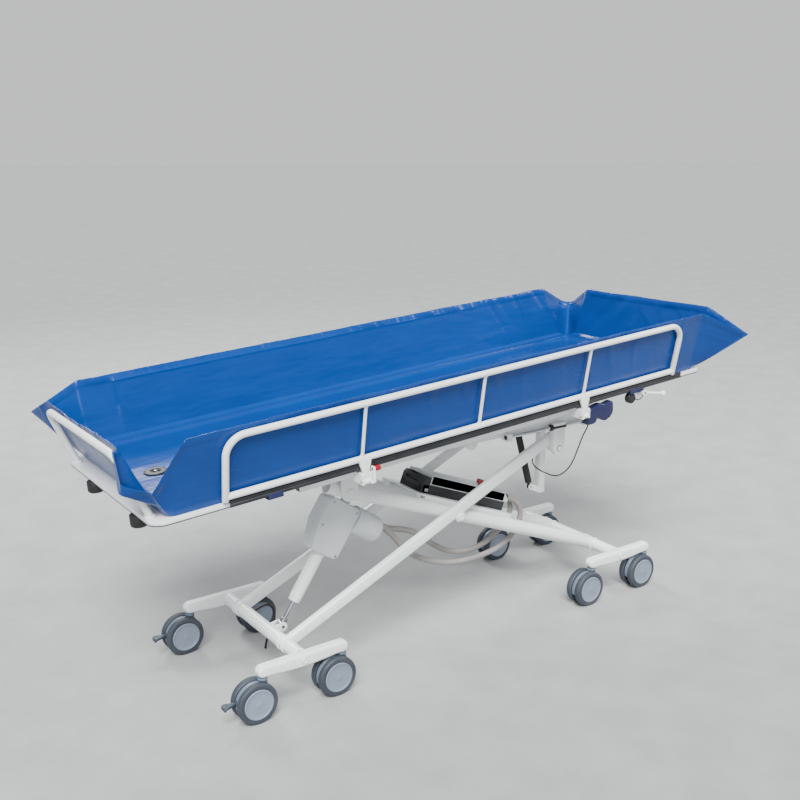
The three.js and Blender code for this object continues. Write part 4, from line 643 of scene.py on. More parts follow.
class TrolleySizes(bpy.types.PropertyGroup):
    """Sizes of the visible pieces."""
    rail_tube: length_setting("Rail tube", "Diameter of the side rails' tube", 0.019)
    end_rail_tube: length_setting("End rail tube", "Diameter of the end rails' tube", 0.020)
    rail_bar: length_setting("Rail bar", "Diameter of the rails' thin bars", 0.010)
    cloth_thickness: length_setting("Cloth thickness", "Thickness of the liner's walls", 0.0024)
    hem_width: length_setting("Hem width", "Height of the welded hem round the liner's rim", 0.020)
    hand_cable: length_setting("Hand control cable", "Diameter of the hand control's cable", 0.0045)
    conduit: length_setting("Conduit", "Diameter of the ribbed conduits over their ribs", 0.020)
    earth_lead: length_setting("Earth lead", "Diameter of the lead that hangs from the foot cross tube", 0.007)
    weld_bead: length_setting("Weld bead", "Thickness of the weld beads round the tubes", 0.005)


class TrolleyColours(bpy.types.PropertyGroup):
    """Colours that a user would change."""
    frame: colour_setting("Frame", "Powder coat of the frame and rails", WHITE)
    liner: colour_setting("Liner", "Coated cloth of the tub", linear(4, 58, 128))


def sizes():
    return bpy.context.scene.trolley_sizes


class TrolleyStep:
    """What all steps of the model share."""
    bl_options = {"REGISTER", "UNDO"}

    def execute(self, context):
        self.build()
        return {"FINISHED"}


# Stage ---------------------------------------------------------------------------------------------------------


CAMERA_PLACE = (-1325.8, -2657.6, 1622.3)
CAMERA_YAW, CAMERA_PITCH, CAMERA_ROLL = 0.6093, 0.2516, -0.0064
LENS, SENSOR = 46.44, 36
FLOOR_SIZE = 400
SUN_STRENGTH, SUN_ANGLE, SUN_DIRECTION = 7.6, 0.5, (0.62, 0.86, -1.25)
BACKDROP = (0.80, 0.81, 0.815, 1)
SKY, SKY_STRENGTH = (0.92, 0.96, 1.0, 1), 0.58


def soft_light(name, place, target, size, power):
    light = bpy.data.lights.new(name, "AREA")
    light.shape = "DISK"
    light.size = size
    light.energy = power
    lamp = new_object(name, light)
    lamp.location = place
    lamp.rotation_euler = (Vector(target) - Vector(place)).to_track_quat("-Z", "Y").to_euler()


class TROLLEY_OT_stage(TrolleyStep, bpy.types.Operator):
    """Camera at the photograph's angle, pale floor and soft studio light"""
    bl_idname = "trolley.stage"
    bl_label = "Stage"

    def build(self):
        yaw, pitch, roll = CAMERA_YAW, CAMERA_PITCH, CAMERA_ROLL
        forward = Vector((math.sin(yaw) * math.cos(pitch), math.cos(yaw) * math.cos(pitch), -math.sin(pitch)))
        level = Vector((math.cos(yaw), -math.sin(yaw), 0))
        upward = level.cross(forward)
        right = level * math.cos(roll) + upward * math.sin(roll)
        top = upward * math.cos(roll) - level * math.sin(roll)
        turn = Matrix((right, top, -forward)).transposed().to_4x4()
        lens = bpy.data.cameras.new("photo_camera")
        lens.sensor_width, lens.lens, lens.clip_end = SENSOR, LENS, 60
        camera = new_object("photo_camera", lens)
        camera.matrix_world = Matrix.Translation(at(*CAMERA_PLACE)) @ turn
        bpy.context.scene.camera = camera
        fresh()
        bpy.ops.mesh.primitive_plane_add(size=FLOOR_SIZE, location=(0, 0, 0))
        dress(named("floor"), "pale_floor")
        sun = bpy.data.lights.new("key_sun", "SUN")
        sun.energy, sun.angle = SUN_STRENGTH, SUN_ANGLE
        lamp = new_object("key_sun", sun)
        lamp.rotation_euler = Vector(SUN_DIRECTION).to_track_quat("-Z", "Y").to_euler()
        soft_light("front_light", (-3.4, -4.2, 2.6), (0, 0, 0.7), 2.6, 60)
        soft_light("head_light", (4.2, -1.6, 3.2), (0, 0, 0.8), 1.8, 110)
        soft_light("back_light", (0.2, 4.4, 4.2), (0, 0, 0.8), 1.6, 240)
        world = bpy.context.scene.world or bpy.data.worlds.new("studio")
        bpy.context.scene.world = world
        world.use_nodes = True
        tree = world.node_tree
        seen, lit = tree.nodes["Background"], tree.nodes.new("ShaderNodeBackground")
        seen.inputs["Color"].default_value = BACKDROP
        seen.inputs["Strength"].default_value = 1.0
        lit.inputs["Color"].default_value = SKY
        lit.inputs["Strength"].default_value = SKY_STRENGTH
        which, rays = tree.nodes.new("ShaderNodeMixShader"), tree.nodes.new("ShaderNodeLightPath")
        tree.links.new(rays.outputs["Is Camera Ray"], which.inputs["Fac"])
        tree.links.new(lit.outputs["Background"], which.inputs[1])
        tree.links.new(seen.outputs["Background"], which.inputs[2])
        tree.links.new(which.outputs["Shader"], tree.nodes["World Output"].inputs["Surface"])


# Cords and conduits --------------------------------------------------------------------------------------------

HAND_CABLE_ROUTE = [
    (1080, -60, 524), (1066, -62, 522), (1052, -68, 512), (1044, -78, 498), (1045, -92, 486),
    (1050, -110, 478), (1056, -132, 473), (1060, -158, 471), (1062, -186, 477), (1063, -214, 495),
    (1063, -240, 522), (1061, -263, 558), (1058, -284, 602), (1057, -305, 650), (1059, -318, 676),
    (1060, -323, 693),
]
EARTH_LEAD_ROUTE = [
    (21.2, 104, 146), (44, 104, 152), (66, 104, 156), (84, 104, 148), (95, 104, 130), (98, 104, 108),
    (94, 104, 86), (84, 104, 66), (72, 104, 46), (64, 104, 24), (60, 104, 4),
]
CONDUIT_ROUTES = {
    "outer": [
        (446, 366), (470, 338), (497, 305), (541, 266), (605, 232), (678, 207), (750, 196),
        (830, 196), (906, 208), (966, 238), (1000, 280), (1006, 322), (988, 357),
    ],
    "inner": [
        (462, 369), (512, 354), (560, 334), (606, 300), (660, 258), (720, 226), (790, 211),
        (856, 216), (912, 238), (956, 268), (984, 304), (990, 336), (980, 362),
    ],
}
CONDUIT_SIDES = {"outer": -60, "inner": -24}
GEARBOX_END = ACTUATOR_LENGTH - 22
MOTOR_AXIS = GEARBOX_END - 37
MOTOR_TOP = 52.4
MOTOR_END = MOTOR_TOP + 112.2
BOX_START, BOX_END = 352, 714
BOX_BOTTOM, BOX_TOP = 68.6, 102.6
SOCKET_HEIGHT = BOX_TOP - 17
CONDUIT_STATIONS, SLEEVE_STATIONS = 330, 22


def smooth_route(points, steps=6):
    """A smooth line through points, evenly enough spaced to bend a tube along."""
    given = [Vector(point) for point in points]
    given = [2 * given[0] - given[1]] + given + [2 * given[-1] - given[-2]]
    route = []
    for a, b, c, d in zip(given, given[1:], given[2:], given[3:]):
        for step in range(steps):
            t = step / steps
            route.append(0.5 * (2 * b + (c - a) * t + (2 * a - 5 * b + 4 * c - d) * t * t
                                + (3 * b - a - 3 * c + d) * t ** 3))
    route.append(given[-2])
    return route


def length_of(points):
    return sum((b - a).length for a, b in zip(points, points[1:]))


def evenly(points, count):
    """The same line with its points evenly spaced."""
    total, out, index, walked = length_of(points), [points[0]], 0, 0.0
    for step in range(1, count - 1):
        goal = total * step / (count - 1)
        while walked + (points[index + 1] - points[index]).length < goal:
            walked += (points[index + 1] - points[index]).length
            index += 1
        piece = points[index + 1] - points[index]
        out.append(points[index] + piece * ((goal - walked) / piece.length))
    return out + [points[-1]]


def conduit_line(which):
    side = CONDUIT_SIDES[which]
    across = side - ACTUATOR_SIDE
    run = [ACTUATOR @ (Vector((MOTOR_AXIS + 20, across, -out)) * MM) for out in (MOTOR_END, MOTOR_END + 20)]
    run += [at(x, side, z) for x, z in CONDUIT_ROUTES[which]]
    run += [INNER_ARM @ (Vector((BOX_END + 0.3 + back, side, SOCKET_HEIGHT)) * MM) for back in (20, 0)]
    return evenly(smooth_route(run, 8), CONDUIT_STATIONS)


def ribbed_tube(name, line, diameter, rib=1.5, sides=18):
    """A corrugated conduit along a line in the X-Z plane: three rings to a rib, and thicker at its sleeve."""
    points, faces = [], []
    across = Vector((0, 1, 0))
    for index, place in enumerate(line):
        run = (line[min(index + 1, len(line) - 1)] - line[max(index - 1, 0)]).normalized()
        up = run.cross(across).normalized()
        sleeve = 1.26 - 0.2 * index / SLEEVE_STATIONS if index < SLEEVE_STATIONS else 1
        radius = diameter / 2 * sleeve - (rib * MM if index % 3 == 0 else 0)
        for corner in range(sides):
            angle = 2 * math.pi * corner / sides
            points.append(place + (across * math.cos(angle) + up * math.sin(angle)) * radius)
    for index in range(len(line) - 1):
        for corner in range(sides):
            a, b = index * sides + corner, index * sides + (corner + 1) % sides
            faces.append((a, b, b + sides, a + sides))
    faces.append(tuple(range(sides)))
    faces.append(tuple(range((len(line) - 1) * sides, len(line) * sides)))
    return smooth(outward(mesh_piece(name, points, faces)), 40)


class TROLLEY_OT_cords(TrolleyStep, bpy.types.Operator):
    """Hand control cable, earth lead and the two ribbed conduits"""
    bl_idname = "trolley.cords"
    bl_label = "Cords and conduits"

    def build(self):
        cable_line = [at(*point) for point in smooth_route(HAND_CABLE_ROUTE, 5)]
        cable = dress(pipe("hand_control_cable_visible", cable_line, sizes().hand_cable / MM, 4, 0, 1),
                      "dark_casing")
        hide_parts("hand_control_cable")
        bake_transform(cable)
        length_of(cable_line)
        lead_line = [at(*point) for point in smooth_route(EARTH_LEAD_ROUTE, 5)]
        lead = dress(pipe("earth_lead_visible", lead_line, sizes().earth_lead / MM, 4, 0.8, 1),
                     "black_rubber")
        seat(lead, "outer_arms", None, "earth_lead")
        length_of(lead_line)
        for which in CONDUIT_ROUTES:
            line = conduit_line(which)
            tube = dress(ribbed_tube(f"conduit_{which}_visible", line, sizes().conduit),
                         "ribbed_conduit")
            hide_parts(f"conduit_{which}")
            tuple(line[10])
            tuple(line[-20])
            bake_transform(tube)
            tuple(line[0])
            length_of(line)


# Liner ---------------------------------------------------------------------------------------------------------

FLOOR_FOOT, FLOOR_HEAD, FLOOR_HALF = -410, 1580, 320
FLOOR_CORNER = 26
# Each corner's rim from the side wall to the end wall: a point of the rim, its share of the way round the floor's
# corner in hundredths, the stations that lead to it, and how far the fold there is rounded
CORNER_RIMS = {
    ("foot", "near"): [
        ((-360, -371, 213), 0, 5, 8), ((-452, -341, 80), 45, 22, 5), ((-514, -313, 204), 100, 26, 8),
        ((-491, -236, 189), 160, 20, 24),
    ],
    ("foot", "far"): [((-381, 384, 219), 0, 5, 9), ((-520, 465, 126), 50, 22, 44), ((-492, 339, 188), 100, 22, 9)],
    ("head", "near"): [((1556, -373, 210), 0, 5, 9), ((1730, -441, 114), 50, 24, 10), ((1640, -332, 214), 100, 22, 9)],
    ("head", "far"): [((1500, 374, 219), 0, 5, 9), ((1704, 434, 114), 50, 26, 84), ((1623, 240, 214), 100, 26, 12)],
}
END_RAIL_BASES = {"foot": -440, "head": 1598}
END_RAIL_SLOPE = math.tan(math.radians(20.6))
# Heights up a wall as shares of it, and the row from which the wall has an inside of its own
WALL_SHARES = [0, 0.035, 0.08, 0.13, 0.19, 0.26, 0.33, 0.41, 0.49, 0.57, 0.65, 0.73, 0.81, 0.89, 0.96, 1]
INSIDE_FROM = 4
SIDE_STATIONS, END_STATIONS = 300, 34
UNDERSIDE, FLOOR_TOP, FLOOR_FILLET = 0.3, 12.3, 20
DRAIN_PLACE = (-310, 0, 0)


def between(first, second, share):
    return first + (second - first) * share


def folded_route(points, counts, cuts, steps=5):
    """A line through points whose inner corners are cut back by some millimetres and rounded."""
    route, last = [points[0]], points[0]
    for before, corner, after, count, cut_back in zip(points, points[1:], points[2:], counts, cuts):
        start = between(corner, before, cut_back / (before - corner).to_3d().length)
        end = between(corner, after, cut_back / (after - corner).to_3d().length)
        route += [between(last, start, step / count) for step in range(1, count)]
        for share in [step / steps for step in range(steps + 1)]:
            route.append(between(between(start, corner, share), between(corner, end, share), share))
        last = end
    return route + [between(last, points[-1], step / 5) for step in range(1, 6)]


def corner_stations(end, side):
    """Floor and rim points round one corner, from the side wall to the end wall."""
    way = 1 if end == "head" else -1
    floor_end = FLOOR_HEAD if end == "head" else FLOOR_FOOT
    sign = SIDES[side]
    rim = CORNER_RIMS[end, side]
    points = [Vector((*place, share)) for place, share, _, _ in rim]
    points = [points[0] - Vector((way * 40, 0, 0, 40))] + points + [points[-1] - Vector((0, sign * 40, 0, -40))]
    route = folded_route(points, [entry[2] for entry in rim], [entry[3] for entry in rim])
    middle = Vector((floor_end - way * FLOOR_CORNER, sign * (FLOOR_HALF - FLOOR_CORNER), 0))
    stations = []
    for place in route:
        angle = min(max(place.w / 100, 0), 1) * math.pi / 2
        floor = middle + Vector((way * math.sin(angle), sign * math.cos(angle), 0)) * FLOOR_CORNER
        floor.x += way * min(place.w, 0)
        floor.y -= sign * max(place.w - 100, 0)
        folded = eased(place.w, 46, 66) if (end, side) == ("foot", "near") else 0
        stations.append((floor, place.to_3d(), folded))
    return stations


def straight_stations(start, end, count):
    return [
        (start[0].lerp(end[0], step / count), start[1].lerp(end[1], step / count), 0) for step in range(1, count)
    ]


def half_stations(side):
    """Stations of one half of the tub, from the middle of the foot wall to the middle of the head wall."""
    foot = corner_stations("foot", side)[::-1]
    head = corner_stations("head", side)
    middles = []
    for end, floor_x in (("foot", FLOOR_FOOT), ("head", FLOOR_HEAD)):
        near, far = Vector(CORNER_RIMS[end, "near"][-1][0]), Vector(CORNER_RIMS[end, "far"][-1][0])
        middles.append((Vector((floor_x, 0, 0)), near.lerp(far, near.y / (near.y - far.y)), 0))
    return (
        [middles[0]] + straight_stations(middles[0], foot[0], END_STATIONS) + foot
        + straight_stations(foot[-1], head[0], SIDE_STATIONS) + head
        + straight_stations(head[-1], middles[1], END_STATIONS) + [middles[1]]
    )


def eased(value, low, high):
    share = min(max((value - low) / (high - low), 0), 1)
    return share * share * (3 - 2 * share)


def cloth_wave(place, rise):
    """How far a point of the wall stands off its plain shape, in millimetres, and how far it sags."""
    slow = noise.noise(Vector((place.x / 230, place.y / 230, rise * 0.8)))
    quick = noise.noise(Vector((place.x / 74, place.y / 74, 3 + rise * 1.4)))
    crease = (1 - min(abs(noise.noise(Vector((place.x / 120 + rise * 0.9, place.y / 120, 5)))) * 5, 1)) ** 2
    pucker = noise.noise(Vector((place.x / 15, place.y / 15, 7 + rise)))
    off = rise * (6.5 * slow + 1.8 * quick + 3.2 * crease) + eased(rise, 0.80, 1.0) * 2.6 * pucker
    return off, -4.0 * rise * abs(slow)


def inside_end_rails(place):
    """Keeps the cloth between the end rails, up to the height where it folds over them."""
    if abs(place.y) < 295:
        room = 13 - max(place.z - 176, 0) * 2.6
        place.x = max(place.x, END_RAIL_BASES["foot"] - place.z * END_RAIL_SLOPE + room)
        place.x = min(place.x, END_RAIL_BASES["head"] + place.z * END_RAIL_SLOPE - room)


def inside_side_rails(place):
    """Keeps the cloth between the side rails, over their length and up to their top."""
    past = max(RAIL_FOOT - 12 - place.x, place.x - RAIL_HEAD - 12, place.z - 202, 0)
    room = RAIL_SPREAD / 2 - 11.6 + (place.z - 21) * math.tan(RAIL_LEAN) + past * 1.4
    place.y = min(max(place.y, -room), room)


def near_foot_pouch(place, folded):
    """How far the cloth that hangs over the near foot corner of the end rail stands out past the rail's leg."""
    if place.x > -400 or place.y > -294:
        return 0
    reach = -521 + max(0, 92 - place.z) * 1.62
    return min(0, reach - place.x) * eased(-place.y, 294, 302) * folded


def wall_section(floor, rim, folded, inward, thickness, hem):
    """The points of one station, from the middle of the tub's underside, up the outside and back down the inside."""
    target = Vector((min(max(floor.x, FLOOR_FOOT + FLOOR_HALF), FLOOR_HEAD - FLOOR_HALF), 0, 0))
    seam = max(0.82, 1 - hem / (rim - floor).length)
    shares = [share * (seam - 0.012) for share in WALL_SHARES] + [seam, (1 + seam) / 2, 0.992, 1]
    outer, inner = [], []
    for index, share in enumerate(shares):
        bulge = share ** 0.9
        place = Vector((
            floor.x + (rim.x - floor.x) * bulge, floor.y + (rim.y - floor.y) * bulge,
            UNDERSIDE + (rim.z - UNDERSIDE) * share,
        ))
        off, sag = cloth_wave(place, share)
        place -= inward * off
        place.z += sag
        hemmed = 0.9 if share >= seam else 0
        edge = 1.1 if share == 1 else 0
        inside_end_rails(place)
        inside_side_rails(place)
        place.x += near_foot_pouch(place, folded) * eased(share, 0, 0.1)
        outer.append(place - inward * (hemmed - edge))
        if index >= INSIDE_FROM:
            inner.append(place + inward * (thickness + hemmed - edge))
    corner = floor + inward * thickness
    base = [floor.lerp(target, step) + Vector((0, 0, UNDERSIDE)) for step in (1, 0.6, 0.25, 0.04)]
    bend = [
        corner + inward * FLOOR_FILLET * (1 - math.cos(angle))
        + Vector((0, 0, FLOOR_TOP + FLOOR_FILLET * (1 - math.sin(angle))))
        for angle in (0.15, 0.4, 0.7, 1.05, 1.35)
    ]
    top = [
        corner.lerp(target, step) + Vector((0, 0, FLOOR_TOP))
        for step in (0.08, 0.13, 0.2, 0.3, 0.42, 0.55, 0.7, 0.85, 1)
    ]
    for point in top:
        point.z += 1.6 * noise.noise(Vector((point.x / 130, point.y / 130, 9)))
    for point in (base[0], top[-1]):
        point.y = 0
    return base + outer + inner[::-1] + bend + top


def liner_half(side):
    stations = half_stations(side)
    sign = SIDES[side]
    sections = []
    for index, (floor, rim, folded) in enumerate(stations):
        before, after = stations[max(index - 1, 0)][1], stations[min(index + 1, len(stations) - 1)][1]
        run = Vector((after.x - before.x, after.y - before.y, 0)).normalized()
        inward = Vector((-run.y, run.x, 0)) * (1 if sign < 0 else -1)
        if index in (0, len(stations) - 1):
            inward = Vector((1 if index == 0 else -1, 0, 0))
        sections.append(wall_section(floor, rim, folded, inward, sizes().cloth_thickness / MM, sizes().hem_width / MM))
    rows = len(sections[0])
    points = [point * MM for section in sections for point in section]
    faces = []
    for index in range(len(sections) - 1):
        for row in range(rows):
            a, b = index * rows + row, index * rows + (row + 1) % rows
            faces.append((a, b, b + rows, a + rows))
    faces.append(tuple(range(rows)))
    faces.append(tuple(range((len(sections) - 1) * rows, len(sections) * rows)))
    return outward(mesh_piece(f"liner_{side}", points, faces))


def map_cloth(piece):
    """Gives the cloth a map in metres: along the tub, and out from its floor and up its walls."""
    layer = piece.data.uv_layers.new(name="Cloth")
    inverse = TRAY.inverted()
    for loop in piece.data.loops:
        point = inverse @ piece.data.vertices[loop.vertex_index].co
        layer.data[loop.index].uv = (point.x + point.y * 0.35, point.z + abs(point.y))


class TROLLEY_OT_liner(TrolleyStep, bpy.types.Operator):
    """Blue tub liner in two halves, each kept inside its side rail"""
    bl_idname = "trolley.liner"
    bl_label = "Liner"

    def build(self):
        for side, sign in SIDES.items():
            half = put(bored(liner_half(side), DRAIN_PLACE, 46, 76, "Z", 48), TRAY)
            map_cloth(half)
            dress(half, "liner_cloth")
            smooth(half, 50)
            if side == "near":
                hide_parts("liner")
            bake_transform(half)


# Undercarriage -------------------------------------------------------------------------------------------------

CASTOR_TRAIL = 28
PEDAL_PIN = (-82, AXLE_HEIGHT + 9)
STEM_STEP = 132.5
BOGIE_SIDE, OUTER_ARM_SIDE, INNER_ARM_SIDE = 252, 150, 110
BOGIE_X = {"foot": 0, "head": WHEELBASE}
OUTWARD = {"foot": -1, "head": 1}


def castors():
    """Every castor's label, body ending and place of its stem at the floor."""
    for end, x in BOGIE_X.items():
        for side, sign in SIDES.items():
            for place, way in (("outer", OUTWARD[end]), ("inner", -OUTWARD[end])):
                yield f"{end}_{side}_{place}", (x + way * STEM_STEP, sign * BOGIE_SIDE, 0)


def castor_wheel(name, sign):
    """One wheel: a rounded tyre and a shallow dished cap; the axle is the origin's Y line."""
    tyre = [
        (46.4, 9.3), (54, 9.0), (58.6, 9.8), (61.2, 12.2), (62.3, 16), (62.5, 20.5), (62.3, 25), (61.4, 28.2),
        (59.4, 30.6), (55.5, 31.7), (50.6, 32.0), (48.6, 31.2), (46.4, 31.0), (46.4, 9.3),
    ]
    cap = [
        (0, 9.2), (30, 9.2), (32, 9.9), (45.2, 9.9), (46.2, 10.8), (46.2, 31.5), (45.6, 32.9), (44.4, 33.7),
        (42.9, 33.9), (41.4, 33.5), (40.3, 32.3), (38.2, 31.7), (22, 32.4), (9.6, 32.8), (9.0, 33.3), (7.6, 33.6),
        (0, 33.7),
    ]
    parts = []
    for label, profile, finish in (("tyre", tyre, "tyre_rubber"), ("cap", cap, "wheel_cap")):
        part = turned(f"{name}_{label}", [(out, sign * along) for out, along in profile], steps=72)
        parts.append(dress(part, finish))
    return parts


def castor_wheels(name):
    parts = castor_wheel(f"{name}_near", -1) + castor_wheel(f"{name}_far", 1)
    parts.append(dress(drum(f"{name}_axle", (0, 0, 0), 11.4, 19, "Y", 0.3, 32), "zinc_plate"))
    return join(name, parts)


def castor_hood(name, slotted):
    """Arched hood between the wheels, its swivel neck and stem collar; the stem's line is the origin's Z line."""
    axle = (-CASTOR_TRAIL, AXLE_HEIGHT)
    outline = arc(axle, 57.6, 37, 197, 30) + [(axle[0] - 16, axle[1] - 12), (axle[0] - 6, axle[1] - 15),
                                              (axle[0] + 6, axle[1] - 15), (axle[0] + 14, axle[1] - 8)]
    web = plate(f"{name}_web", outline, 13.6, radius=2.6, segments=4)
    neck = turned(f"{name}_neck", [
        (0, 88), (13, 88), (14.6, 90), (14.6, 118), (15, 119), (15, 126.4), (14.4, 127.4), (0, 127.6),
    ], axis="Z", steps=56)
    for side in (-24, 24):
        bored(neck, (axle[0], side, axle[1]), 126.8, 31, "Y", 96)
    ring_profile = [(10, 119.6), (15, 119.6), (15, 121.4), (10, 121.4), (10, 119.6)]
    rim = dress(turned(f"{name}_swivel_ring", ring_profile, axis="Z", steps=56), "zinc_plate")
    hub = drum(f"{name}_hub", (axle[0], 0, axle[1]), 24, 15.4, "Y", 1, 40)
    parts = coated("hood_plastic", web, neck, hub)
    bored(hub, (axle[0], 0, axle[1]), 13, 30)
    bored(web, (axle[0], 0, axle[1]), 23.6, 30)
    if slotted:
        cut(web, block("tongue_room", (PEDAL_PIN[0] - 3, 0, PEDAL_PIN[1]), (20, 7, 19), 0))
        parts.append(dress(drum(f"{name}_pin", (PEDAL_PIN[0], 0, PEDAL_PIN[1]), 5, 13.2, "Y", 0.3, 24), "zinc_plate"))
    return join(name, parts + [rim])


def brake_pedal(name):
    """Pedal blade with a rolled tip and three grip ribs; its pin is the origin's Y line."""
    edge = [(-5.5, 6.6), (-17, 8.4), (-26, 12), (-33, 14.6), (-40, 14.6), (-45, 9.4), (-47, 0)]
    outline = edge + [(x, -y) for x, y in edge[-2::-1]]
    blade = plate(f"{name}_blade", outline, 8.4, plane="XY", radius=3.4, segments=4)
    tongue = plate(f"{name}_tongue", [(-8, -2.9), (0, -2.9)] + arc((0, 0), 6.3, -60, 60, 8)[1:] + [(-8, 2.9)], 5.6,
                   radius=0.6)
    eye = drum(f"{name}_eye", (0, 0, 0), 12.6, 5.8, "Y", 0.5, 32)
    for part in (eye, tongue):
        bored(part, (0, 0, 0), 6, 20, "Y", 32)
    ribs = [block(f"{name}_rib", (-30 - 5 * step, 0, 4.3), (1.8, 20 - step, 1.6), 0.6) for step in range(3)]
    lip = block(f"{name}_lip", (-41, 0, -3.8), (7, 26, 11), 2.6)
    return dress(join(name, [blade, tongue, eye, lip, *ribs]), "pedal_plastic")


class TROLLEY_OT_castors(TrolleyStep, bpy.types.Operator):
    """Eight twin-wheel castors, two of them with brake pedals"""
    bl_idname = "trolley.castors"
    bl_label = "Castors"

    def build(self):
        wheels = castor_wheels("wheels")
        hoods = {slotted: castor_hood("hood", slotted) for slotted in (False, True)}
        pedal = brake_pedal("pedal")
        for label, place in castors():
            axle = standing_at(place[0] - CASTOR_TRAIL, place[1], AXLE_HEIGHT)
            pair = copy_of(wheels, f"castor_wheels_{label}", axle)
            seat(pair, f"wheels_{label}", "wheel_rubber", f"wheel_pair_{label}")
            pedalled = label.startswith("foot") and label.endswith("outer")
            hood = copy_of(hoods[pedalled], f"castor_body_{label}", standing_at(*place))
            seat(hood, f"castor_{label}", "hood_plastic", f"castor_hood_{label}")
            if pedalled:
                side = label.split("_")[1]
                pin = standing_at(place[0] + PEDAL_PIN[0], place[1], PEDAL_PIN[1])
                blade = copy_of(pedal, f"castor_pedal_{side}", pin)
                seat(blade, f"pedal_{side}", "hood_plastic", f"brake_pedal_{side}")
        for spare in (wheels, *hoods.values(), pedal):
            bpy.data.objects.remove(spare)


class TROLLEY_OT_bogies(TrolleyStep, bpy.types.Operator):
    """Four rocking bogie beams with rounded ends, a deeper belly and a bolt boss"""
    bl_idname = "trolley.bogies"
    bl_label = "Bogie beams"

    def build(self):
        belly = [
            ((1 - 2 * step / 16) * 102.5, -18 - 24 * (step / 16) * (1 - step / 16)) for step in range(17)
        ]
        outline = arc((STEM_STEP, 0), 18, 90, -90, 18) + belly + arc((-STEM_STEP, 0), 18, -90, -270, 18)
        for end, x in BOGIE_X.items():
            for side, sign in SIDES.items():
                beam = plate("bogie_beam", outline, 34, radius=9.5, segments=7)
                bored(beam, (0, -sign * 4, 0), 25, 33, "Y", 48)
                boss = turned("bogie_boss", [
                    (0, sign * 16), (12, sign * 16), (12, sign * 19.4), (11.2, sign * 20.6), (8.6, sign * 20.9),
                    (7.6, sign * 20.2), (0, sign * 20.2),
                ])
                finish_piece(
                    f"bogie_{end}_{side}_visible", coated("powder_coat", beam, boss),
                    standing_at(x, sign * BOGIE_SIDE, PIVOT_HEIGHT),
                    f"bogie_{end}_{side}", "white_paint", f"bogie_beam_{end}_{side}",
                )


def bar(name, start, end, height, width, side, radius):
    """A box section between two points of the drawing."""
    length = distance(start, end)
    piece = block(name, (length / 2, 0, 0), (length, width, height), radius, 4)
    return put(piece, standing_at(start[0], side, start[1], angle_between(start, end)))


def lug_bar(name, start, end, diameter, thickness, side):
    """A flat lug with round ends, from one point of the drawing to another."""
    length = distance(start, end)
    outline = arc((length, 0), diameter / 2, -90, 90, 14) + arc((0, 0), diameter / 2, 90, 270, 14)
    piece = plate(name, outline, thickness, radius=0.8, segments=2)
    return put(piece, standing_at(start[0], side, start[1], angle_between(start, end)))


def upright(name, centre, size, radius=2.0):
    """A block standing in the trolley's drawing."""
    return put(block(name, centre, size, radius), GROUND)


def cross(name, centre, diameter, length, radius=0.8, sides=56):
    """A round piece across the trolley's drawing."""
    return put(drum(name, centre, diameter, length, "Y", radius, sides), GROUND)


def pin_head(name, place, side, sign, proud=7.0, diameter=30.0):
    """Pin head with a washer rim and a recessed middle, outside a joint."""
    start = abs(side)
    outside = diameter / 2
    profile = [
        (0, -1), (outside, -1), (outside, 2), (outside - 1, 2.6), (outside - 3.5, 2.8), (outside - 3.5, proud - 1.4),
        (outside - 5, proud), (6, proud), (5, proud - 1.6), (0, proud - 1.6),
    ]
    profile = [(out, sign * (start + along)) for out, along in profile]
    return put(turned(name, profile, (place[0], 0, place[1])), GROUND)


def weld_ring(name, centre, diameter, axis="Y"):
    return put(ring(name, centre, diameter, sizes().weld_bead / MM, axis), GROUND)


def cross_tube(name, x):
    profile = [(0, -262.2), (11.2, -262.2), (12, -261.4), (12, -234.4), (19.6, -234.4), (21, -233), (21, -200)]
    profile += [(out, -along) for out, along in reversed(profile)]
    return put(turned(name, profile, (x, 0, PIVOT_HEIGHT)), GROUND)


def on_outer_arm(x):
    return (x, PIVOT_HEIGHT + x * math.tan(OUTER_RISE))


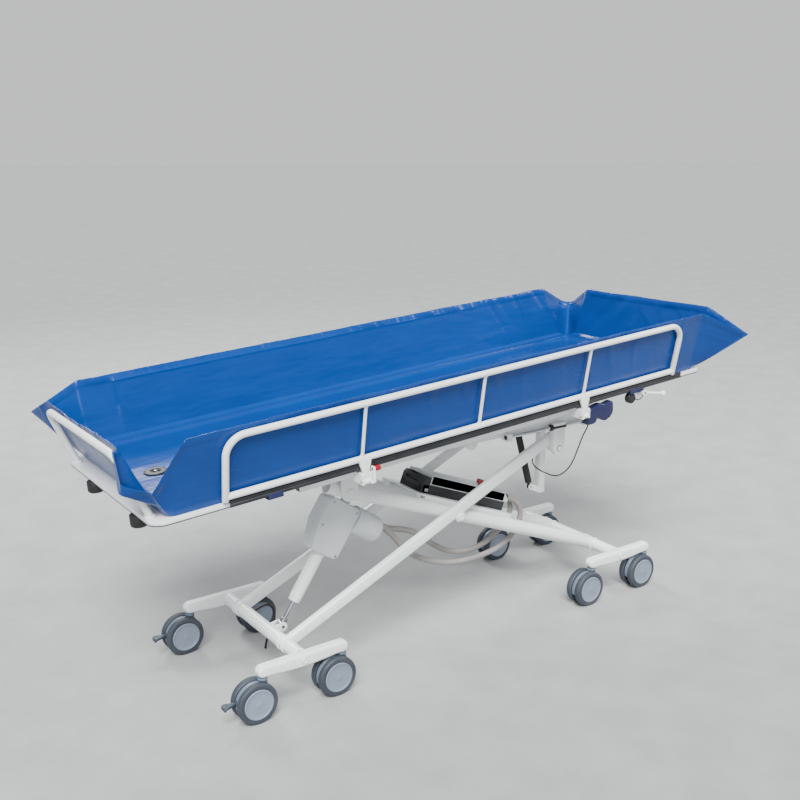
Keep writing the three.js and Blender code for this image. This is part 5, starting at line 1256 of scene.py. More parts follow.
class TROLLEY_OT_outer_arms(TrolleyStep, bpy.types.Operator):
    """Outer scissor arms of box section, welded to the foot cross tube"""
    bl_idname = "trolley.outer_arms"
    bl_label = "Outer arms"

    def build(self):
        parts = [cross_tube("foot_cross_tube", 0)]
        for side, sign in SIDES.items():
            y = sign * OUTER_ARM_SIDE
            arm = bar(f"outer_arm_{side}", (0, PIVOT_HEIGHT), on_outer_arm(SLIDER_PIN[0] + 9), 40, 25, y, 9)
            parts.append(arm)
            for pin in (CENTRE_PIN, SLIDER_PIN):
                hub = cross("arm_hub", (pin[0], y, pin[1]), 36, 25.4, 1.2)
                top = on_outer_arm(pin[0])[1]
                outline = [(pin[0] - 18, pin[1]), (pin[0] + 18, pin[1]), (pin[0] + 27, top), (pin[0] - 27, top - 9)]
                web = put(plate("arm_web", outline, 12.5, (0, y, 0), radius=1.5), GROUND)
                parts += [hub, web]
                if pin is SLIDER_PIN:
                    for solid in (hub, web, arm):
                        cut(solid, cross("pin_room", (pin[0], y, pin[1]), 21, 40, 0))
            parts.append(pin_head("centre_pin_head", CENTRE_PIN, y + sign * 12.5, sign))
            parts.append(cross("centre_pin", (CENTRE_PIN[0], sign * 124.5, CENTRE_PIN[1]), 20, 76, 0.5))
            for out in (-1, 1):
                parts.append(weld_ring("arm_weld", (0, y + out * 12.6, PIVOT_HEIGHT), 44))
        for sign in (-1, 1):
            parts.append(lug_bar("actuator_lug", (0, PIVOT_HEIGHT), FOOT_EYE, 30, 6, ACTUATOR_SIDE + sign * 12.5))
        foot_pin = cross("actuator_foot_pin", (FOOT_EYE[0], ACTUATOR_SIDE, FOOT_EYE[1]), 12, 31, 0.8, 32)
        clip = put(ring("lead_clip", (20.6, 104, PIVOT_HEIGHT), 12, 3.2, "X"), GROUND)
        parts = coated("powder_coat", *parts) + coated("zinc_plate", foot_pin) + coated("black_rubber", clip)
        seat(join("outer_arms_visible", parts), "outer_arms", "white_paint", "arm_frame_outer")


INNER_ARM_LENGTH = distance(HINGE_PIN, (WHEELBASE, PIVOT_HEIGHT))


class TROLLEY_OT_inner_arms(TrolleyStep, bpy.types.Operator):
    """Inner round scissor arms with open tails, their cross tubes and the shelf of the control box"""
    bl_idname = "trolley.inner_arms"
    bl_label = "Inner arms"

    def build(self):
        parts = [cross_tube("head_cross_tube", WHEELBASE)]
        for side, sign in SIDES.items():
            y = sign * INNER_ARM_SIDE
            profile = [
                (0, 22), (20.5, 22), (20.5, -66), (21.3, -68), (23.2, -68), (24, -67.2), (24, INNER_ARM_LENGTH - 2),
                (0, INNER_ARM_LENGTH - 2),
            ]
            arm = put(turned(f"inner_arm_{side}", profile, (0, y, 0), "X", 64), INNER_ARM)
            for pin in (HINGE_PIN, CENTRE_PIN):
                cut(arm, cross("pin_room", (pin[0], y, pin[1]), 21, 70, 0))
            parts.append(arm)
            for start in (296, 694):
                parts.append(put(block("shelf_stand", (start + 13, sign * 99, 23), (26, 18, 26), 2), INNER_ARM))
            parts.append(put(block("shelf_lip", (508, sign * 106, 30), (424, 4, 12), 1.2), INNER_ARM))
            for out in (-1, 1):
                parts.append(weld_ring("arm_weld", (WHEELBASE, y + out * 23.5, PIVOT_HEIGHT), 44))
        parts.append(put(block("box_shelf", (508, 0, 36), (424, 216, 4), 1.2), INNER_ARM))
        parts.append(put(drum("actuator_cross_tube", (85, 0, 0), 30, 176, "Y", 0.5, 56), INNER_ARM))
        start = (HINGE_PIN[0] + 85 * math.cos(SCISSOR), HINGE_PIN[1] - 85 * math.sin(SCISSOR))
        for sign in (-1, 1):
            parts.append(put(ring("tube_weld", (85, sign * 87, 0), 32, 5, "Y"), INNER_ARM))
            parts.append(lug_bar("actuator_lug", start, HEAD_EYE, 30, 6, ACTUATOR_SIDE + sign * 12.5))
        head_pin = cross("actuator_head_pin", (HEAD_EYE[0], ACTUATOR_SIDE, HEAD_EYE[1]), 12, 31, 0.8, 32)
        parts = coated("powder_coat", *parts) + coated("zinc_plate", head_pin)
        seat(join("inner_arms_visible", parts), "inner_arms", "white_paint", "arm_frame_inner")


# Lift ----------------------------------------------------------------------------------------------------------

GEARBOX_START = GEARBOX_END - 176
TUBE_START = GEARBOX_START - 168


def eye(name, centre, diameter, width, hole):
    """A round eye with its pin hole."""
    return bored(drum(name, centre, diameter, width), centre, hole, width + 10)


class TROLLEY_OT_actuator(TrolleyStep, bpy.types.Operator):
    """Lift actuator: gearbox casing, outer tube, motor and piston rod"""
    bl_idname = "trolley.actuator"
    bl_label = "Actuator"

    def build(self):
        start, end = GEARBOX_START, GEARBOX_END
        outline = [
            (start, -40), (start + 12, -52), (end - 12, -52), (end, -40), (end, 64), (end - 12, 76), (start + 88, 76),
            (start, 52),
        ]
        casing = plate("casing", outline, 72, radius=6, segments=6)
        split = plate("casing_split", outline, 0.7, radius=0)
        neck = block("casing_neck", (end + 7, 0, 0), (30, 18, 30), 3)
        head_eye = eye("casing_eye", (ACTUATOR_LENGTH, 0, 0), 30, 18, 13)
        bored(neck, (ACTUATOR_LENGTH, 0, 0), 13, 30)
        tube = turned("casing_tube", [
            (8.2, start + 4), (8.2, TUBE_START), (17.4, TUBE_START), (19, TUBE_START + 1.4), (19, TUBE_START + 9),
            (20, TUBE_START + 10), (20, start - 9), (21.4, start - 7), (21.4, start + 4), (8.2, start + 4),
        ], axis="X")
        grip = [
            block("casing_rib", (start + 26 + 11 * step, side * 36.2, 12), (3, 1.6, 62 - 3 * step), 0.7)
            for side in (-1, 1) for step in range(4)
        ]
        head = [(0, 35.6), (4.4, 35.6), (4.4, 37.2), (3.6, 37.8), (2, 37.8), (1.6, 36.8), (0, 36.8)]
        screws = [
            turned("casing_screw", [(out, side * along) for out, along in head], (u, 0, v), "Y", 24)
            for side in (-1, 1) for u, v in ((start + 12, -38), (end - 14, -38), (end - 14, 62), (start + 84, 62))
        ]
        parts = coated("white_casing", casing, neck, head_eye, *grip) + coated("grey_casing", split)
        parts += coated("powder_coat", tube) + coated("zinc_plate", *screws)
        finish_piece("actuator_casing_visible", parts, ACTUATOR, "actuator", "grey_plastic", "actuator_housing")

        low = -MOTOR_END
        motor = turned("motor_can", [
            (0, low), (27, low), (31, low + 1.2), (38, low + 4.6), (42.6, low + 10), (44, low + 17), (44, low + 80),
            (43.2, low + 81), (43.2, low + 83), (44, low + 84), (44, -MOTOR_TOP - 0.8), (43, -MOTOR_TOP),
            (0, -MOTOR_TOP),
        ], (MOTOR_AXIS, 0, 0), "Z", 72)
        motor = coated("white_casing", motor)
        finish_piece("actuator_motor_visible", motor, ACTUATOR, "actuator", "grey_plastic", "actuator_motor")

        reach = TUBE_START + 120
        rod = turned("piston_rod", [(0, 12), (6.9, 12), (7.5, 12.6), (7.5, reach), (0, reach)], axis="X")
        steps = [(0, 12), (11, 12), (12, 13), (12, 24), (11, 25.4), (7.4, 26), (0, 26)]
        collar = turned("piston_collar", steps, axis="X")
        foot_eye = eye("piston_eye", (0, 0, 0), 30, 18, 22)
        parts = coated("polished_chrome", rod) + coated("zinc_plate", collar, foot_eye)
        finish_piece("actuator_piston_visible", parts, ACTUATOR, "actuator_rod", "chrome", "actuator_piston")


CONTROL_BOX = INNER_ARM @ Matrix.Translation((0, -12 * MM, 0))
STOP_PLACE = (592, -30)


class TROLLEY_OT_control_box(TrolleyStep, bpy.types.Operator):
    """Control box with its folded cover, the battery that slides under it and the red stop knob"""
    bl_idname = "trolley.control_box"
    bl_label = "Control box"

    def build(self):
        outline = [
            (BOX_START, BOX_BOTTOM), (BOX_END, BOX_BOTTOM), (BOX_END, BOX_TOP - 22), (BOX_END - 22, BOX_TOP),
            (BOX_START, BOX_TOP),
        ]
        cover = plate("box_cover", outline, 130, radius=3.6, segments=5)
        skirts = [block("box_skirt", (BOX_START + 170, side * 61, 70.4), (340, 8, 64.2), 1.6) for side in (-1, 1)]
        bored(cover, (*STOP_PLACE, BOX_TOP), 13.4, 24, "Z", 32)
        outline = [(BOX_START + 1, 38.3), (BOX_END - 16, 38.3), (BOX_END - 16, 70), (BOX_START + 1, 70)]
        band = plate("box_band", outline, 131.4, radius=1.2, segments=2)
        cut(band, block("band_room", (500, 0, 70), (500, 128, 90), 0))
        steps = [(0, -6), (13, -6), (13, -1), (12, 0), (0, 0)]
        sockets = [
            turned("box_socket", steps, (BOX_END, side + 12, SOCKET_HEIGHT), "X", 40) for side in CONDUIT_SIDES.values()
        ]
        head = [(0, -2), (4, -2), (4, 0.6), (3.2, 1.2), (1.8, 1.2), (1.4, 0.4), (0, 0.4)]
        screws = [
            turned("box_screw", head, (x, y, BOX_TOP), "Z", 24)
            for x in (BOX_START + 12, BOX_END - 36) for y in (-54, 42)
        ]
        parts = coated("white_casing", cover, *skirts) + coated("dark_casing", band, *sockets)
        parts += coated("zinc_plate", *screws)
        finish_piece("control_box_visible", parts, CONTROL_BOX, "inner_arms", "grey_plastic", "control_box")

        start, width, side = 322, 121.4, -4.3
        bed = block("battery_bed", (start + 185, side, 53.3), (370, width, 30), 2.4)
        outline = [(start, 38.3), (start + 30, 38.3), (start + 30, 90), (start + 25, 94), (start + 9, 94), (start, 83)]
        grip = plate("battery_grip", outline, width, (0, side, 0), radius=4, segments=5)
        cut(grip, block("battery_notch", (start + 16, side + 4, 93), (20, 62, 20), 4))
        cut(grip, block("battery_lip", (start, side, 66), (14, 76, 26), 4))
        insert = block("battery_insert", (start + 20, side - width / 2 + 1, 50), (14, 4, 10), 1.2)
        parts = coated("dark_casing", bed, grip) + coated("grey_casing", insert)
        finish_piece("battery_visible", parts, CONTROL_BOX, "battery", "dark_plastic", "battery_pack")

        knob = turned("stop_cap", [
            (0, -5.8), (6, -5.8), (6, 5.4), (11.6, 5.4), (12.8, 6.6), (13, 12), (12.7, 17), (11.4, 20.2), (8.6, 21.6),
            (0, 22),
        ], (*STOP_PLACE, BOX_TOP + 0.3), "Z", 56)
        knob = coated("red_knob", knob)
        finish_piece("stop_knob_visible", knob, CONTROL_BOX, "stop_knob", "red_plastic", "stop_knob")


# Upper frame ---------------------------------------------------------------------------------------------------

BEAM_BOTTOM = HINGE_PIN[1] + 74.731
BEAM_MIDDLE = BEAM_BOTTOM + 20
ROD_SIDE, ROD_HEIGHT = 173.5, BEAM_BOTTOM + 2
ROD_START, ROD_END = SLIDER_PIN[0] - 235, SLIDER_PIN[0] + 132
TILT_AXIS = (672, BEAM_BOTTOM + 18)
COLUMN_X, COLUMN_BOTTOM = SLIDER_PIN[0] + 27, BEAM_BOTTOM - 273


class TROLLEY_OT_upper_frame(TrolleyStep, bpy.types.Operator):
    """Level frame with hinge lugs, tilt bosses and the spring column, its slide rods and slider plates"""
    bl_idname = "trolley.upper_frame"
    bl_label = "Upper frame"

    def build(self):
        parts, fittings = [], []
        start, end = HINGE_PIN[0] - 34, SLIDER_PIN[0] + 140
        for side, sign in SIDES.items():
            y = sign * OUTER_ARM_SIDE
            parts.append(upright("level_beam", ((start + end) / 2, y, BEAM_MIDDLE), (end - start, 25, 40), 3.4))
            plugs = [upright("beam_plug", (x, y, BEAM_MIDDLE), (2.4, 21, 36), 1) for x in (start, end)]
            fittings += coated("edge_trim", *plugs)
            for lug in (141.5, 78.5):
                rise = BEAM_MIDDLE - HINGE_PIN[1]
                outline = [(-29, 0)] + arc((0, 0), 29, 180, 360, 24)[1:] + [(29, rise), (-29, rise)]
                hanger = plate("hinge_lug", outline, 8, (0, sign * lug, 0), radius=1.2, segments=2)
                parts.append(put(hanger, standing_at(HINGE_PIN[0], 0, HINGE_PIN[1])))
            parts.append(cross("hinge_pin", (HINGE_PIN[0], sign * INNER_ARM_SIDE, HINGE_PIN[1]), 20, 70, 0.5))
            parts.append(pin_head("hinge_pin_head", HINGE_PIN, sign * 145.5, sign))
            for x in (ROD_START + 10, ROD_END - 10):
                parts.append(upright("rod_lug", (x, sign * 168.2, ROD_HEIGHT), (20, 36.5, 26), 2.4))
                steps = [(0, -11), (8, -11), (8, -10), (8.6, 10.6), (7.4, 11.4), (0, 11.4)]
                cap = turned("rod_end", steps, (x, sign * ROD_SIDE, ROD_HEIGHT), "X", 40)
                fittings += coated("black_rubber", put(cap, GROUND))
            parts.append(cross("tilt_boss", (TILT_AXIS[0], sign * 170, TILT_AXIS[1]), 32, 40, 1.2))
            parts.append(cross("tilt_pin", (TILT_AXIS[0], sign * 180, TILT_AXIS[1]), 18, 36, 0.5))
            parts.append(pin_head("tilt_pin_head", TILT_AXIS, sign * 198.6, sign))
        for x in (HINGE_PIN[0], COLUMN_X):
            parts.append(upright("level_cross", (x, 0, BEAM_MIDDLE), (30, 276, 30), 3))
        height = BEAM_MIDDLE - COLUMN_BOTTOM
        parts.append(upright("spring_column", (COLUMN_X, SPRING_SIDE, BEAM_MIDDLE - height / 2), (28, 28, height), 4))
        foot, root = (COLUMN_X - 48, COLUMN_BOTTOM + 30), (COLUMN_X, COLUMN_BOTTOM + 9)
        for sign in (-1, 1):
            parts.append(lug_bar("spring_lug", foot, root, 20, 4, SPRING_SIDE + sign * 7.5))
        fittings += coated("zinc_plate", cross("spring_foot_pin", (foot[0], SPRING_SIDE, foot[1]), 8, 19, 0.5, 24))
        parts = coated("powder_coat", *parts) + fittings
        seat(join("upper_frame_visible", parts), "upper_frame", "white_paint", "upper_frame")

        for side, sign in SIDES.items():
            rod = put(turned(f"slide_rod_{side}_visible", [
                (0, ROD_START), (5.2, ROD_START), (6, ROD_START + 0.8), (6, ROD_END - 0.8), (5.2, ROD_END),
                (0, ROD_END),
            ], (0, sign * ROD_SIDE, ROD_HEIGHT), "X", 40), GROUND)
            seat(dress(rod, "polished_chrome"), "upper_frame", "chrome", f"slide_rod_{side}")
            rise = ROD_HEIGHT - SLIDER_PIN[1]
            outline = [(-28, rise + 14), (-24.2, 4)] + arc((0, 0), 24, 180, 360, 24) + [(24.2, 4), (28, rise + 14)]
            hanger = plate("slider_plate", outline, 20, radius=2.4, segments=4)
            bush = turned("slider_bush", [
                (6.6, -37), (10, -37), (11, -36), (11, 30), (10, 31), (6.6, 31), (6.6, -37),
            ], (0, 0, rise), "X", 40)
            bored(hanger, (0, 0, rise), 21, 90, "X")
            pin = drum("slider_pin", (0, -sign * 18, 0), 20, 36, "Y", 0.6, 48)
            nut = hexagon("slider_nut", (0, sign * 11.6, 0), 17, 5)
            washer = drum("slider_washer", (0, sign * 10, 0), 24, 2.4, "Y", 0.4, 40)
            parts = coated("powder_coat", hanger, pin, nut) + coated("zinc_plate", washer)
            parts += coated("black_rubber", bush)
            place = standing_at(SLIDER_PIN[0], sign * ROD_SIDE, SLIDER_PIN[1])
            finish_piece(f"slider_{side}_visible", parts, place, f"slider_{side}", "white_paint", f"slider_{side}")


class TROLLEY_OT_gas_spring(TrolleyStep, bpy.types.Operator):
    """Gas spring between the column and the tray"""
    bl_idname = "trolley.gas_spring"
    bl_label = "Gas spring"

    def build(self):
        tube = turned("spring_tube", [
            (0, 8), (5, 8), (5, 17), (10.6, 18), (12, 19.6), (12, 204), (11, 207), (7.6, 208), (5.6, 208), (5.6, 118),
            (0, 118),
        ], axis="X")
        foot = eye("spring_eye", (0, 0, 0), 18, 9.6, 9)
        parts = coated("black_rubber", tube, foot)
        finish_piece("spring_cylinder_visible", parts, SPRING, "spring_cylinder", "dark_plastic", "spring_cylinder")
        rod = turned("spring_rod_bar", [(0, 152), (5, 152), (5, SPRING_LENGTH - 8), (0, SPRING_LENGTH - 8)], axis="X")
        nut = hexagon("spring_nut", (SPRING_LENGTH - 16, 0, 0), 15, 7, "X")
        head = eye("spring_rod_eye", (SPRING_LENGTH, 0, 0), 18, 9.6, 12)
        parts = coated("polished_chrome", rod) + coated("zinc_plate", nut, head)
        finish_piece("spring_rod_visible", parts, SPRING, "spring_rod", "chrome", "spring_rod")


# Tray ----------------------------------------------------------------------------------------------------------

BEAM_TOP = -20.3
RAIL_FOOT, RAIL_HEAD, RAIL_SPREAD = -258, 1444, 682
RAIL_LEAN = math.radians(13.4)
RAIL_RISE = 175
RAIL_PIN_HEIGHT, LATCH_HEIGHT = -46, -14
HINGE_SHARES = (0.25, 0.75)
HINGE_SIDE = RAIL_SPREAD / 2 + 5
TILT_IN_TRAY = (
    TILT_AXIS[0] * math.cos(TILT) + (TILT_AXIS[1] - BOARD_DATUM) * math.sin(TILT),
    (TILT_AXIS[1] - BOARD_DATUM) * math.cos(TILT) - TILT_AXIS[0] * math.sin(TILT),
)


def rail_at(share):
    return RAIL_FOOT + (RAIL_HEAD - RAIL_FOOT) * share


def on_rail(along, rise, sign):
    out = RAIL_SPREAD / 2 + rise * math.sin(RAIL_LEAN)
    return Vector((along, sign * out, 21 + rise * math.cos(RAIL_LEAN)))


class TROLLEY_OT_tray_frame(TrolleyStep, bpy.types.Operator):
    """Frame under the board: beams, cross members, tilt brackets, rail hinges and latch posts"""
    bl_idname = "trolley.tray_frame"
    bl_label = "Tray frame"

    def build(self):
        parts, fittings = [], []
        beam_head = rail_at(HINGE_SHARES[1]) + 121.5
        cross_height = BEAM_TOP - 12
        for sign in (-1, 1):
            parts.append(block("tray_beam", (beam_head / 2, sign * 250, BEAM_TOP - 20), (beam_head, 25, 40), 3.4))
            for x in (0, beam_head):
                fittings += coated("edge_trim", block("beam_plug", (x, sign * 250, BEAM_TOP - 20), (2.4, 21, 36), 1))
            height = cross_height - TILT_IN_TRAY[1]
            outline = [(-24, 0)] + arc((0, 0), 24, 180, 360, 24)[1:] + [(24, height), (-24, height)]
            place = (TILT_IN_TRAY[0], sign * 194.3, TILT_IN_TRAY[1])
            parts.append(bored(plate("tilt_lug", outline, 8, place, radius=1.2, segments=2), place, 19, 20))
        for x in (44, TILT_AXIS[0], SPRING_HEAD_ALONG, beam_head - 32):
            parts.append(block("tray_cross", (x, 0, cross_height), (30, 476, 24), 2.6))
        for sign in (-1, 1):
            outline = [(-9, 61)] + arc((0, 0), 9, 180, 360, 16) + [(9, 61)]
            place = (SPRING_HEAD_ALONG, SPRING_SIDE + sign * 7.5, SPRING_HEAD_UP)
            parts.append(plate("spring_lug", outline, 4, place, radius=0.6, segments=2))
        place = (SPRING_HEAD_ALONG, SPRING_SIDE, SPRING_HEAD_UP)
        fittings += coated("zinc_plate", drum("spring_head_pin", place, 8, 19, "Y", 0.5, 24))
        for share in HINGE_SHARES:
            x = rail_at(share)
            parts.append(block("hinge_cross", (x, 0, cross_height), (30, 630, 24), 2.6))
            for sign in (-1, 1):
                outer, inner, z = HINGE_SIDE - 10, 295, BEAM_TOP - 17
                parts.append(block("hinge_block", (x, sign * (outer + inner) / 2, z), (33, outer - inner, 34), 2))
                for way in (-1, 1):
                    parts.append(block("hinge_ear", (x + way * 13.5, sign * (HINGE_SIDE - 3.5), z), (6, 25, 34), 1.6))
                place = (x, sign * HINGE_SIDE, RAIL_PIN_HEIGHT)
                fittings += coated("zinc_plate", drum("rail_pin", place, 8, 33.6, "X", 0.8, 32))
                if share == HINGE_SHARES[0]:
                    outline = [
                        (x + 10.5, -54), (x + 26.5, -54), (x + 26.5, -8), (x + 24, -5.5), (x + 23, -5.5),
                        (x + 20.5, -8), (x + 20.5, -48), (x + 10.5, -48),
                    ]
                    y = sign * (HINGE_SIDE + 4)
                    post = plate("latch_post", outline, 15, (0, y, 0), radius=0.9, segments=2)
                    bored(post, (x + 23, y, LATCH_HEIGHT), 8, 20, "X", 32)
                    parts.append(bored(post, place, 19, 21, "X", 48))
        finish_piece(
            "tray_frame_visible", coated("powder_coat", *parts) + fittings, TRAY, "tray", "white_paint", "tray_frame",
        )


class TROLLEY_OT_board(TrolleyStep, bpy.types.Operator):
    """White board with a dark edge, edge rails, drain fitting and buffers"""
    bl_idname = "trolley.board"
    bl_label = "Board"

    def build(self):
        foot, head, half, corner = -457, 1612, 335, 42
        outline, left, right = [], foot + corner, head - corner
        for quarter, (x, way) in enumerate(((right, 1), (left, 1), (left, -1), (right, -1))):
            outline += arc((x, way * (half - corner)), corner, quarter * 90, quarter * 90 + 90, 16)
        middle = (foot + head) / 2
        inset = [((x - middle) * 0.982 + middle, y * 0.95) for x, y in outline]
        top = plate("board", outline, 10.6, (0, 0, -5.3), "XY", 1.6, 3)
        line = plate("board_line", outline, 2.6, (0, 0, -11.8), "XY", 0.8, 2)
        under = plate("board_under", inset, 7.0, (0, 0, -16.3), "XY", 1.2, 2)
        parts = coated("laminate", top) + coated("edge_trim", line) + coated("laminate", under)
        for part in parts:
            bored(part, DRAIN_PLACE, 46, 80, "Z", 64)
        finish_piece("board_visible", parts, TRAY, "tray", "board_laminate", "tray_board")

        for side, sign in SIDES.items():
            section = [
                (335.4, -12.6), (338.7, -12.6), (339.3, -12), (339.3, -4.4), (338.1, -3.4), (338.1, -1.8),
                (339.3, -0.8), (339.3, 6.6), (337.9, 8), (335.4, 8), (335.4, 3.3), (330.4, 3.3), (330.4, 0.4),
                (335.4, 0.4),
            ]
            section = [(sign * y, z) for y, z in section]
            rail = plate(f"edge_rail_{side}_visible", section, 1738, ((-246 + 1492) / 2, 0, 0), "YZ", 0.5, 2)
            seat(put(dress(rail, "edge_trim"), TRAY), "tray", "edge_trim", f"edge_rail_{side}")

        for name, along, width in (("foot", -114, 46), ("head", 1264, 52)):
            section = [
                (-320, -21.3), (-341.6, -21.3), (-342.4, -20.4), (-342.4, -6), (-341, -5), (-340.4, -19.6),
                (-320, -19.8),
            ]
            strap = plate(f"strap_{name}_visible", section, width, (along, 0, 0), "YZ", 0.4, 2)
            seat(put(dress(strap, "webbing"), TRAY), "tray", "liner_cloth")

        low, top = 12.6, 16.6
        drain = turned("drain_ring", [
            (16, top - 1.2), (16.4, top - 0.3), (24, top + 0.1), (31.6, top - 0.6), (33.6, top - 2), (34, low),
            (20, low), (20, -45.6), (19, -46), (16, -46), (16, top - 1.2),
        ], DRAIN_PLACE, "Z")
        middle = (DRAIN_PLACE[0], 0, top - 1.9)
        bars = [block("drain_bar", middle, size, 1.2) for size in ((36, 5, 3.4), (5, 36, 3.4))]
        head = [(0, top - 3), (5.4, top - 3), (5.4, top - 0.4), (4, top + 0.4), (0, top + 0.6)]
        screw = turned("drain_screw", head, DRAIN_PLACE, "Z", 32)
        parts = coated("black_rubber", drain) + coated("dark_casing", *bars) + coated("polished_chrome", screw)
        finish_piece("drain_visible", parts, TRAY, "tray", "black_rubber", "drain_fitting")

        for side, y in (("near", -205), ("far", 125)):
            buffer = turned("buffer_drum", [
                (0, 7), (23.4, 7), (24, 6), (24, -19), (22.8, -23), (20, -25.4), (16, -26), (9, -26), (8, -25),
                (8, -20), (0, -20),
            ], (-445, y, BEAM_TOP), "Z", 56)
            washer = drum("buffer_washer", (-445, y, BEAM_TOP - 20.6), 14, 1.6, "Z", 0.3, 32)
            parts = coated("black_rubber", buffer) + coated("zinc_plate", washer)
            finish_piece(f"buffer_{side}_visible", parts, TRAY, "tray", "black_rubber", f"buffer_{side}")


class TROLLEY_OT_rails(TrolleyStep, bpy.types.Operator):
    """Side rails on their hinge arms, end rails on their feet, and the red latch knobs"""
    bl_idname = "trolley.rails"
    bl_label = "Rails"

    def build(self):
        thick, bar_size = sizes().rail_tube / MM, sizes().rail_bar / MM
        for side, sign in SIDES.items():
            hoop = bent_route([
                on_rail(RAIL_FOOT, -12, sign), on_rail(RAIL_FOOT, RAIL_RISE, sign), on_rail(RAIL_HEAD, RAIL_RISE, sign),
                on_rail(RAIL_HEAD, -12, sign),
            ], 56, 14)
            low = [on_rail(RAIL_FOOT, 0, sign), on_rail(RAIL_HEAD, 0, sign)]
            parts = [pipe("rail_hoop", hoop, thick, 8, 1.6), pipe("rail_low", low, thick, 8, 0)]
            turn = Matrix.Rotation(math.pi / 2 - sign * RAIL_LEAN, 4, "X")
            for share in (0.247, 0.494, 0.749):
                along = rail_at(share)
                ends = [on_rail(along, 0, sign), on_rail(along, RAIL_RISE, sign)]
                parts.append(pipe("rail_upright", ends, bar_size, 6, 0))
                for rise in (9.2, 165.8):
                    place = Matrix.Translation(on_rail(along, rise, sign) * MM)
                    parts.append(put(ring("rail_weld", (0, 0, 0), 11, 3), place @ turn))
            for share in HINGE_SHARES:
                along = rail_at(share)
                outline = [
                    (-20, 21), (-18, 6), (-10, BEAM_TOP + 3), (-10, RAIL_PIN_HEIGHT), (10, RAIL_PIN_HEIGHT),
                    (10, BEAM_TOP + 3), (18, 6), (20, 21),
                ]
                pin = (along, sign * HINGE_SIDE, RAIL_PIN_HEIGHT)
                arm = plate("rail_arm", [(along + u, v) for u, v in outline], 9, (0, sign * HINGE_SIDE, 0), radius=1.6)
                barrel = drum("rail_barrel", pin, 18, 20, "X", 0.6, 48)
                parts += [bored(part, pin, 9, 40, "X", 32) for part in (arm, barrel)]
            body = f"side_rail_{side}"
            finish_piece(f"{body}_visible", coated("powder_coat", *parts), TRAY, body, "white_paint", body)

            start = rail_at(HINGE_SHARES[0]) + 26.8
            knob = turned("latch_knob", [
                (0, -6.4), (3.5, -6.4), (3.5, 0.2), (6.6, 0.2), (7.6, 1.4), (7.9, 5), (8.5, 9), (8.5, 16), (7.6, 18.8),
                (5.2, 19.8), (0, 20),
            ], (start, sign * (HINGE_SIDE + 4), LATCH_HEIGHT), "X", 40)
            finish_piece(
                f"latch_knob_{side}_visible", coated("red_knob", knob), TRAY, f"latch_{side}", "red_plastic",
                f"latch_knob_{side}",
            )

        for end, base in END_RAIL_BASES.items():
            def place(y, rise):
                return Vector((base + OUTWARD[end] * rise * END_RAIL_SLOPE, y, rise))
            hoop = bent_route([place(-280, 3.3), place(-280, 178), place(280, 178), place(280, 3.3)], 48, 14)
            hoop = pipe("end_hoop", hoop, sizes().end_rail_tube / MM, 8, 0)
            cut(hoop, block("under_board", (base, 0, -20), (120, 800, 40.6), 0))
            steps = [(0, 0.4), (14.6, 0.4), (15, 0.8), (15, 4.6), (14, 6.2), (11.6, 6.6), (0, 6.6)]
            feet = [turned("rail_foot", steps, (place(0, 3.3).x, y, 0), "Z", 48) for y in (-280, 280)]
            name = f"end_rail_{end}"
            finish_piece(f"{name}_visible", coated("powder_coat", hoop, *feet), TRAY, "tray", "white_paint", name)


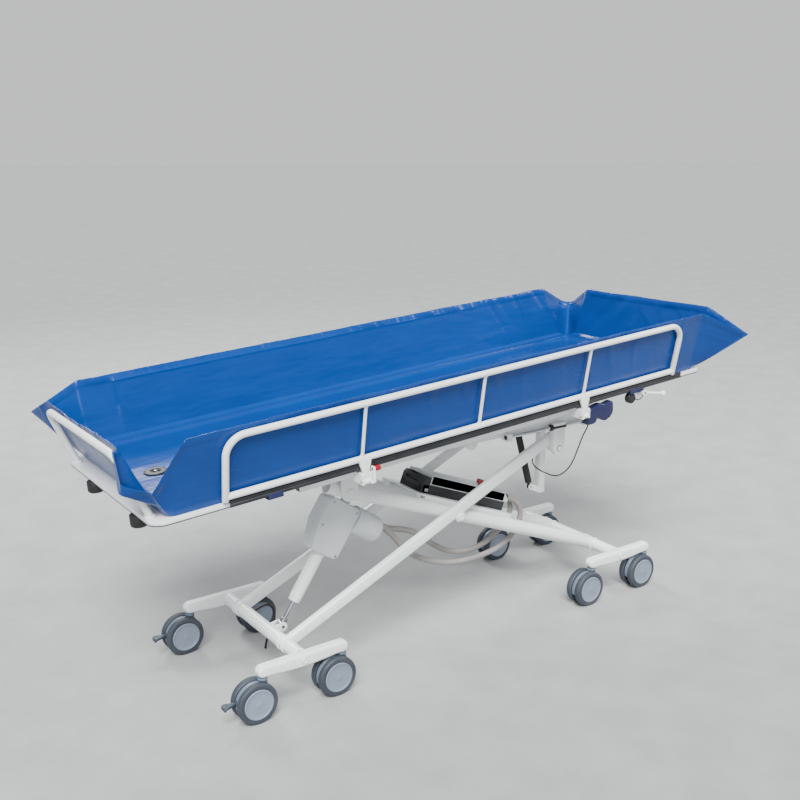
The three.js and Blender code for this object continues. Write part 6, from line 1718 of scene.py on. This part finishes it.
class TROLLEY_OT_release(TrolleyStep, bpy.types.Operator):
    """Tilt release lever with its bracket, and the round cable clamp beside it"""
    bl_idname = "trolley.release"
    bl_label = "Tilt release"

    def build(self):
        side, hub_z, x = -326, BEAM_TOP - 13, 1318
        plate_side = side + 12.5
        wall = block("release_wall", (x, plate_side, BEAM_TOP - 12), (30, 8, 24), 1.4)
        flange = block("release_flange", (x, plate_side + 15, BEAM_TOP - 2), (30, 30, 4), 1)
        pin = drum("release_pin", (x, plate_side - 10, hub_z), 9, 20.5, "Y", 0.6, 32)
        head = [(0, -7.4), (3, -7.4), (4, -6.4), (4, -3), (0, -3)]
        screws = [turned("release_screw", head, (x + way * 8, plate_side + 19, BEAM_TOP), "Z", 24) for way in (-1, 1)]
        parts = coated("powder_coat", wall, flange) + coated("zinc_plate", pin, *screws)
        finish_piece("release_bracket_visible", parts, TRAY, "tray", "white_paint", "release_bracket")

        hub = eye("release_hub", (0, 0, 0), 22, 15.4, 10)
        rod = turned("release_rod", [(0, 9), (4.6, 9), (5.5, 20), (5.5, 70), (4.8, 92), (0, 92)], axis="X")
        fresh()
        bpy.ops.mesh.primitive_uv_sphere_add(segments=40, ring_count=20, radius=11 * MM, location=(100 * MM, 0, 0))
        ball = smooth(apply_place(named("release_ball")), 60)
        droop = Matrix.Rotation(math.radians(14), 4, "Y")
        parts = coated("powder_coat", hub, put(rod, droop), put(ball, droop))
        place = TRAY @ Matrix.Translation(Vector((x, side, hub_z)) * MM)
        finish_piece("release_lever_visible", parts, place, "release_lever", "white_paint", "release_lever")

        centre = BEAM_TOP - 18.5
        body = turned("clamp_body", [
            (0, -9.8), (14, -9.8), (17, -9), (18, -7.6), (18, 7.6), (17, 9), (14, 9.8), (0, 9.8),
        ], (1252, side, centre), "Y", 56)
        neck = block("clamp_neck", (1252, side, BEAM_TOP - 9), (15.4, 19, 18), 1.6)
        face = turned("clamp_face", [(0, -10.4), (9.4, -10.4), (10, -9.8), (0, -9.6)], (1252, side, centre), "Y", 40)
        lead = pipe("clamp_lead", smooth_route([
            (1266, side, centre - 6), (1280, side - 1, centre - 12), (1296, side - 2, centre - 13),
            (1312, side - 2, centre - 4), (1318, side - 1, centre + 8), (1312, side, BEAM_TOP + 0.6),
        ], 6), 3.4, 4, 0.4)
        tip = turned("clamp_tip", [(0, 0), (3.4, 0), (3.4, 12), (2.6, 15), (0, 15)], (1267, side, centre - 6), "X", 28)
        parts = coated("black_rubber", body, neck) + coated("dark_casing", face)
        parts += coated("black_rubber", lead) + coated("zinc_plate", tip)
        finish_piece("cable_clamp_visible", parts, TRAY, "tray", "black_rubber", "cable_clamp")


HAND_SIZE = (132, 76)
# The outline as shares of that length and height, round from the foot end
HAND_SHARES = [
    (-0.48, -0.3), (-0.4, -0.44), (-0.14, -0.44), (-0.06, -0.2), (0.2, -0.5), (0.49, -0.22),
    (0.48, 0.42), (0.16, 0.3), (0.03, 0.42), (-0.34, 0.26),
]


def softened(outline, steps=5):
    """The same outline with its corners rounded off by quadratic arcs."""
    points = []
    count = len(outline)
    for index, corner in enumerate(outline):
        corner = Vector(corner)
        before = corner.lerp(Vector(outline[index - 1]), 0.36)
        after = corner.lerp(Vector(outline[(index + 1) % count]), 0.36)
        for step in range(steps + 1):
            t = step / steps
            points.append(before.lerp(corner, t).lerp(corner.lerp(after, t), t)[:])
    return points


class TROLLEY_OT_hand_control(TrolleyStep, bpy.types.Operator):
    """Hand control that hooks over the tray's near edge"""
    bl_idname = "trolley.hand_control"
    bl_label = "Hand control"

    def build(self):
        length, height = HAND_SIZE
        outline = softened([(length * u, height * v) for u, v in HAND_SHARES])
        shell = plate("hand_shell", outline, 25.6, radius=4.6, segments=6)
        seam = plate("hand_seam", outline, 0.9, radius=0)
        steps = [(0, -12), (6.2, -12), (6.2, -12.6), (5.4, -13), (0, -13)]
        keys = [
            turned("hand_key", steps, (44 - 17 * column, 0, 14 - 17 * row), "Y", 32)
            for column in range(2) for row in range(3)
        ]
        parts = coated("navy_casing", shell) + coated("dark_casing", seam) + coated("navy_casing", *keys)
        place = TRAY @ Matrix.Translation(Vector((1094, -328, BEAM_TOP - 0.3 - 0.42 * height)) * MM)
        finish_piece("hand_control_visible", parts, place, "hand_control", "navy_plastic", "hand_control")


# Panel and run -------------------------------------------------------------------------------------------------


class TROLLEY_PT_panel(bpy.types.Panel):
    """Sizes, colours and steps of the trolley"""
    bl_label = "Shower trolley"
    bl_idname = "TROLLEY_PT_panel"
    bl_space_type = "VIEW_3D"
    bl_region_type = "UI"
    bl_category = "Trolley"

    def draw(self, context):
        for group in (context.scene.trolley_sizes, context.scene.trolley_colours):
            box = self.layout.box()
            for key in group.__annotations__:
                box.prop(group, key)
        column = self.layout.column(align=True)
        for step in STEPS:
            column.operator(step.bl_idname)


STEPS = [
    TROLLEY_OT_stage, TROLLEY_OT_cords, TROLLEY_OT_liner, TROLLEY_OT_castors, TROLLEY_OT_bogies, TROLLEY_OT_outer_arms,
    TROLLEY_OT_inner_arms, TROLLEY_OT_actuator, TROLLEY_OT_control_box, TROLLEY_OT_upper_frame, TROLLEY_OT_gas_spring,
    TROLLEY_OT_tray_frame, TROLLEY_OT_board, TROLLEY_OT_rails, TROLLEY_OT_release, TROLLEY_OT_hand_control,
]
CLASSES = [TrolleySizes, TrolleyColours, *STEPS, TROLLEY_PT_panel]


def register():
    for kind in CLASSES:
        bpy.utils.register_class(kind)
    bpy.types.Scene.trolley_sizes = bpy.props.PointerProperty(type=TrolleySizes)
    bpy.types.Scene.trolley_colours = bpy.props.PointerProperty(type=TrolleyColours)


def unregister():
    del bpy.types.Scene.trolley_colours
    del bpy.types.Scene.trolley_sizes
    for kind in reversed(CLASSES):
        bpy.utils.unregister_class(kind)


def main():
    register()
    for step in STEPS:
        group, name = step.bl_idname.split(".")
        getattr(getattr(bpy.ops, group), name)()


if __name__ == "__main__":
    main()
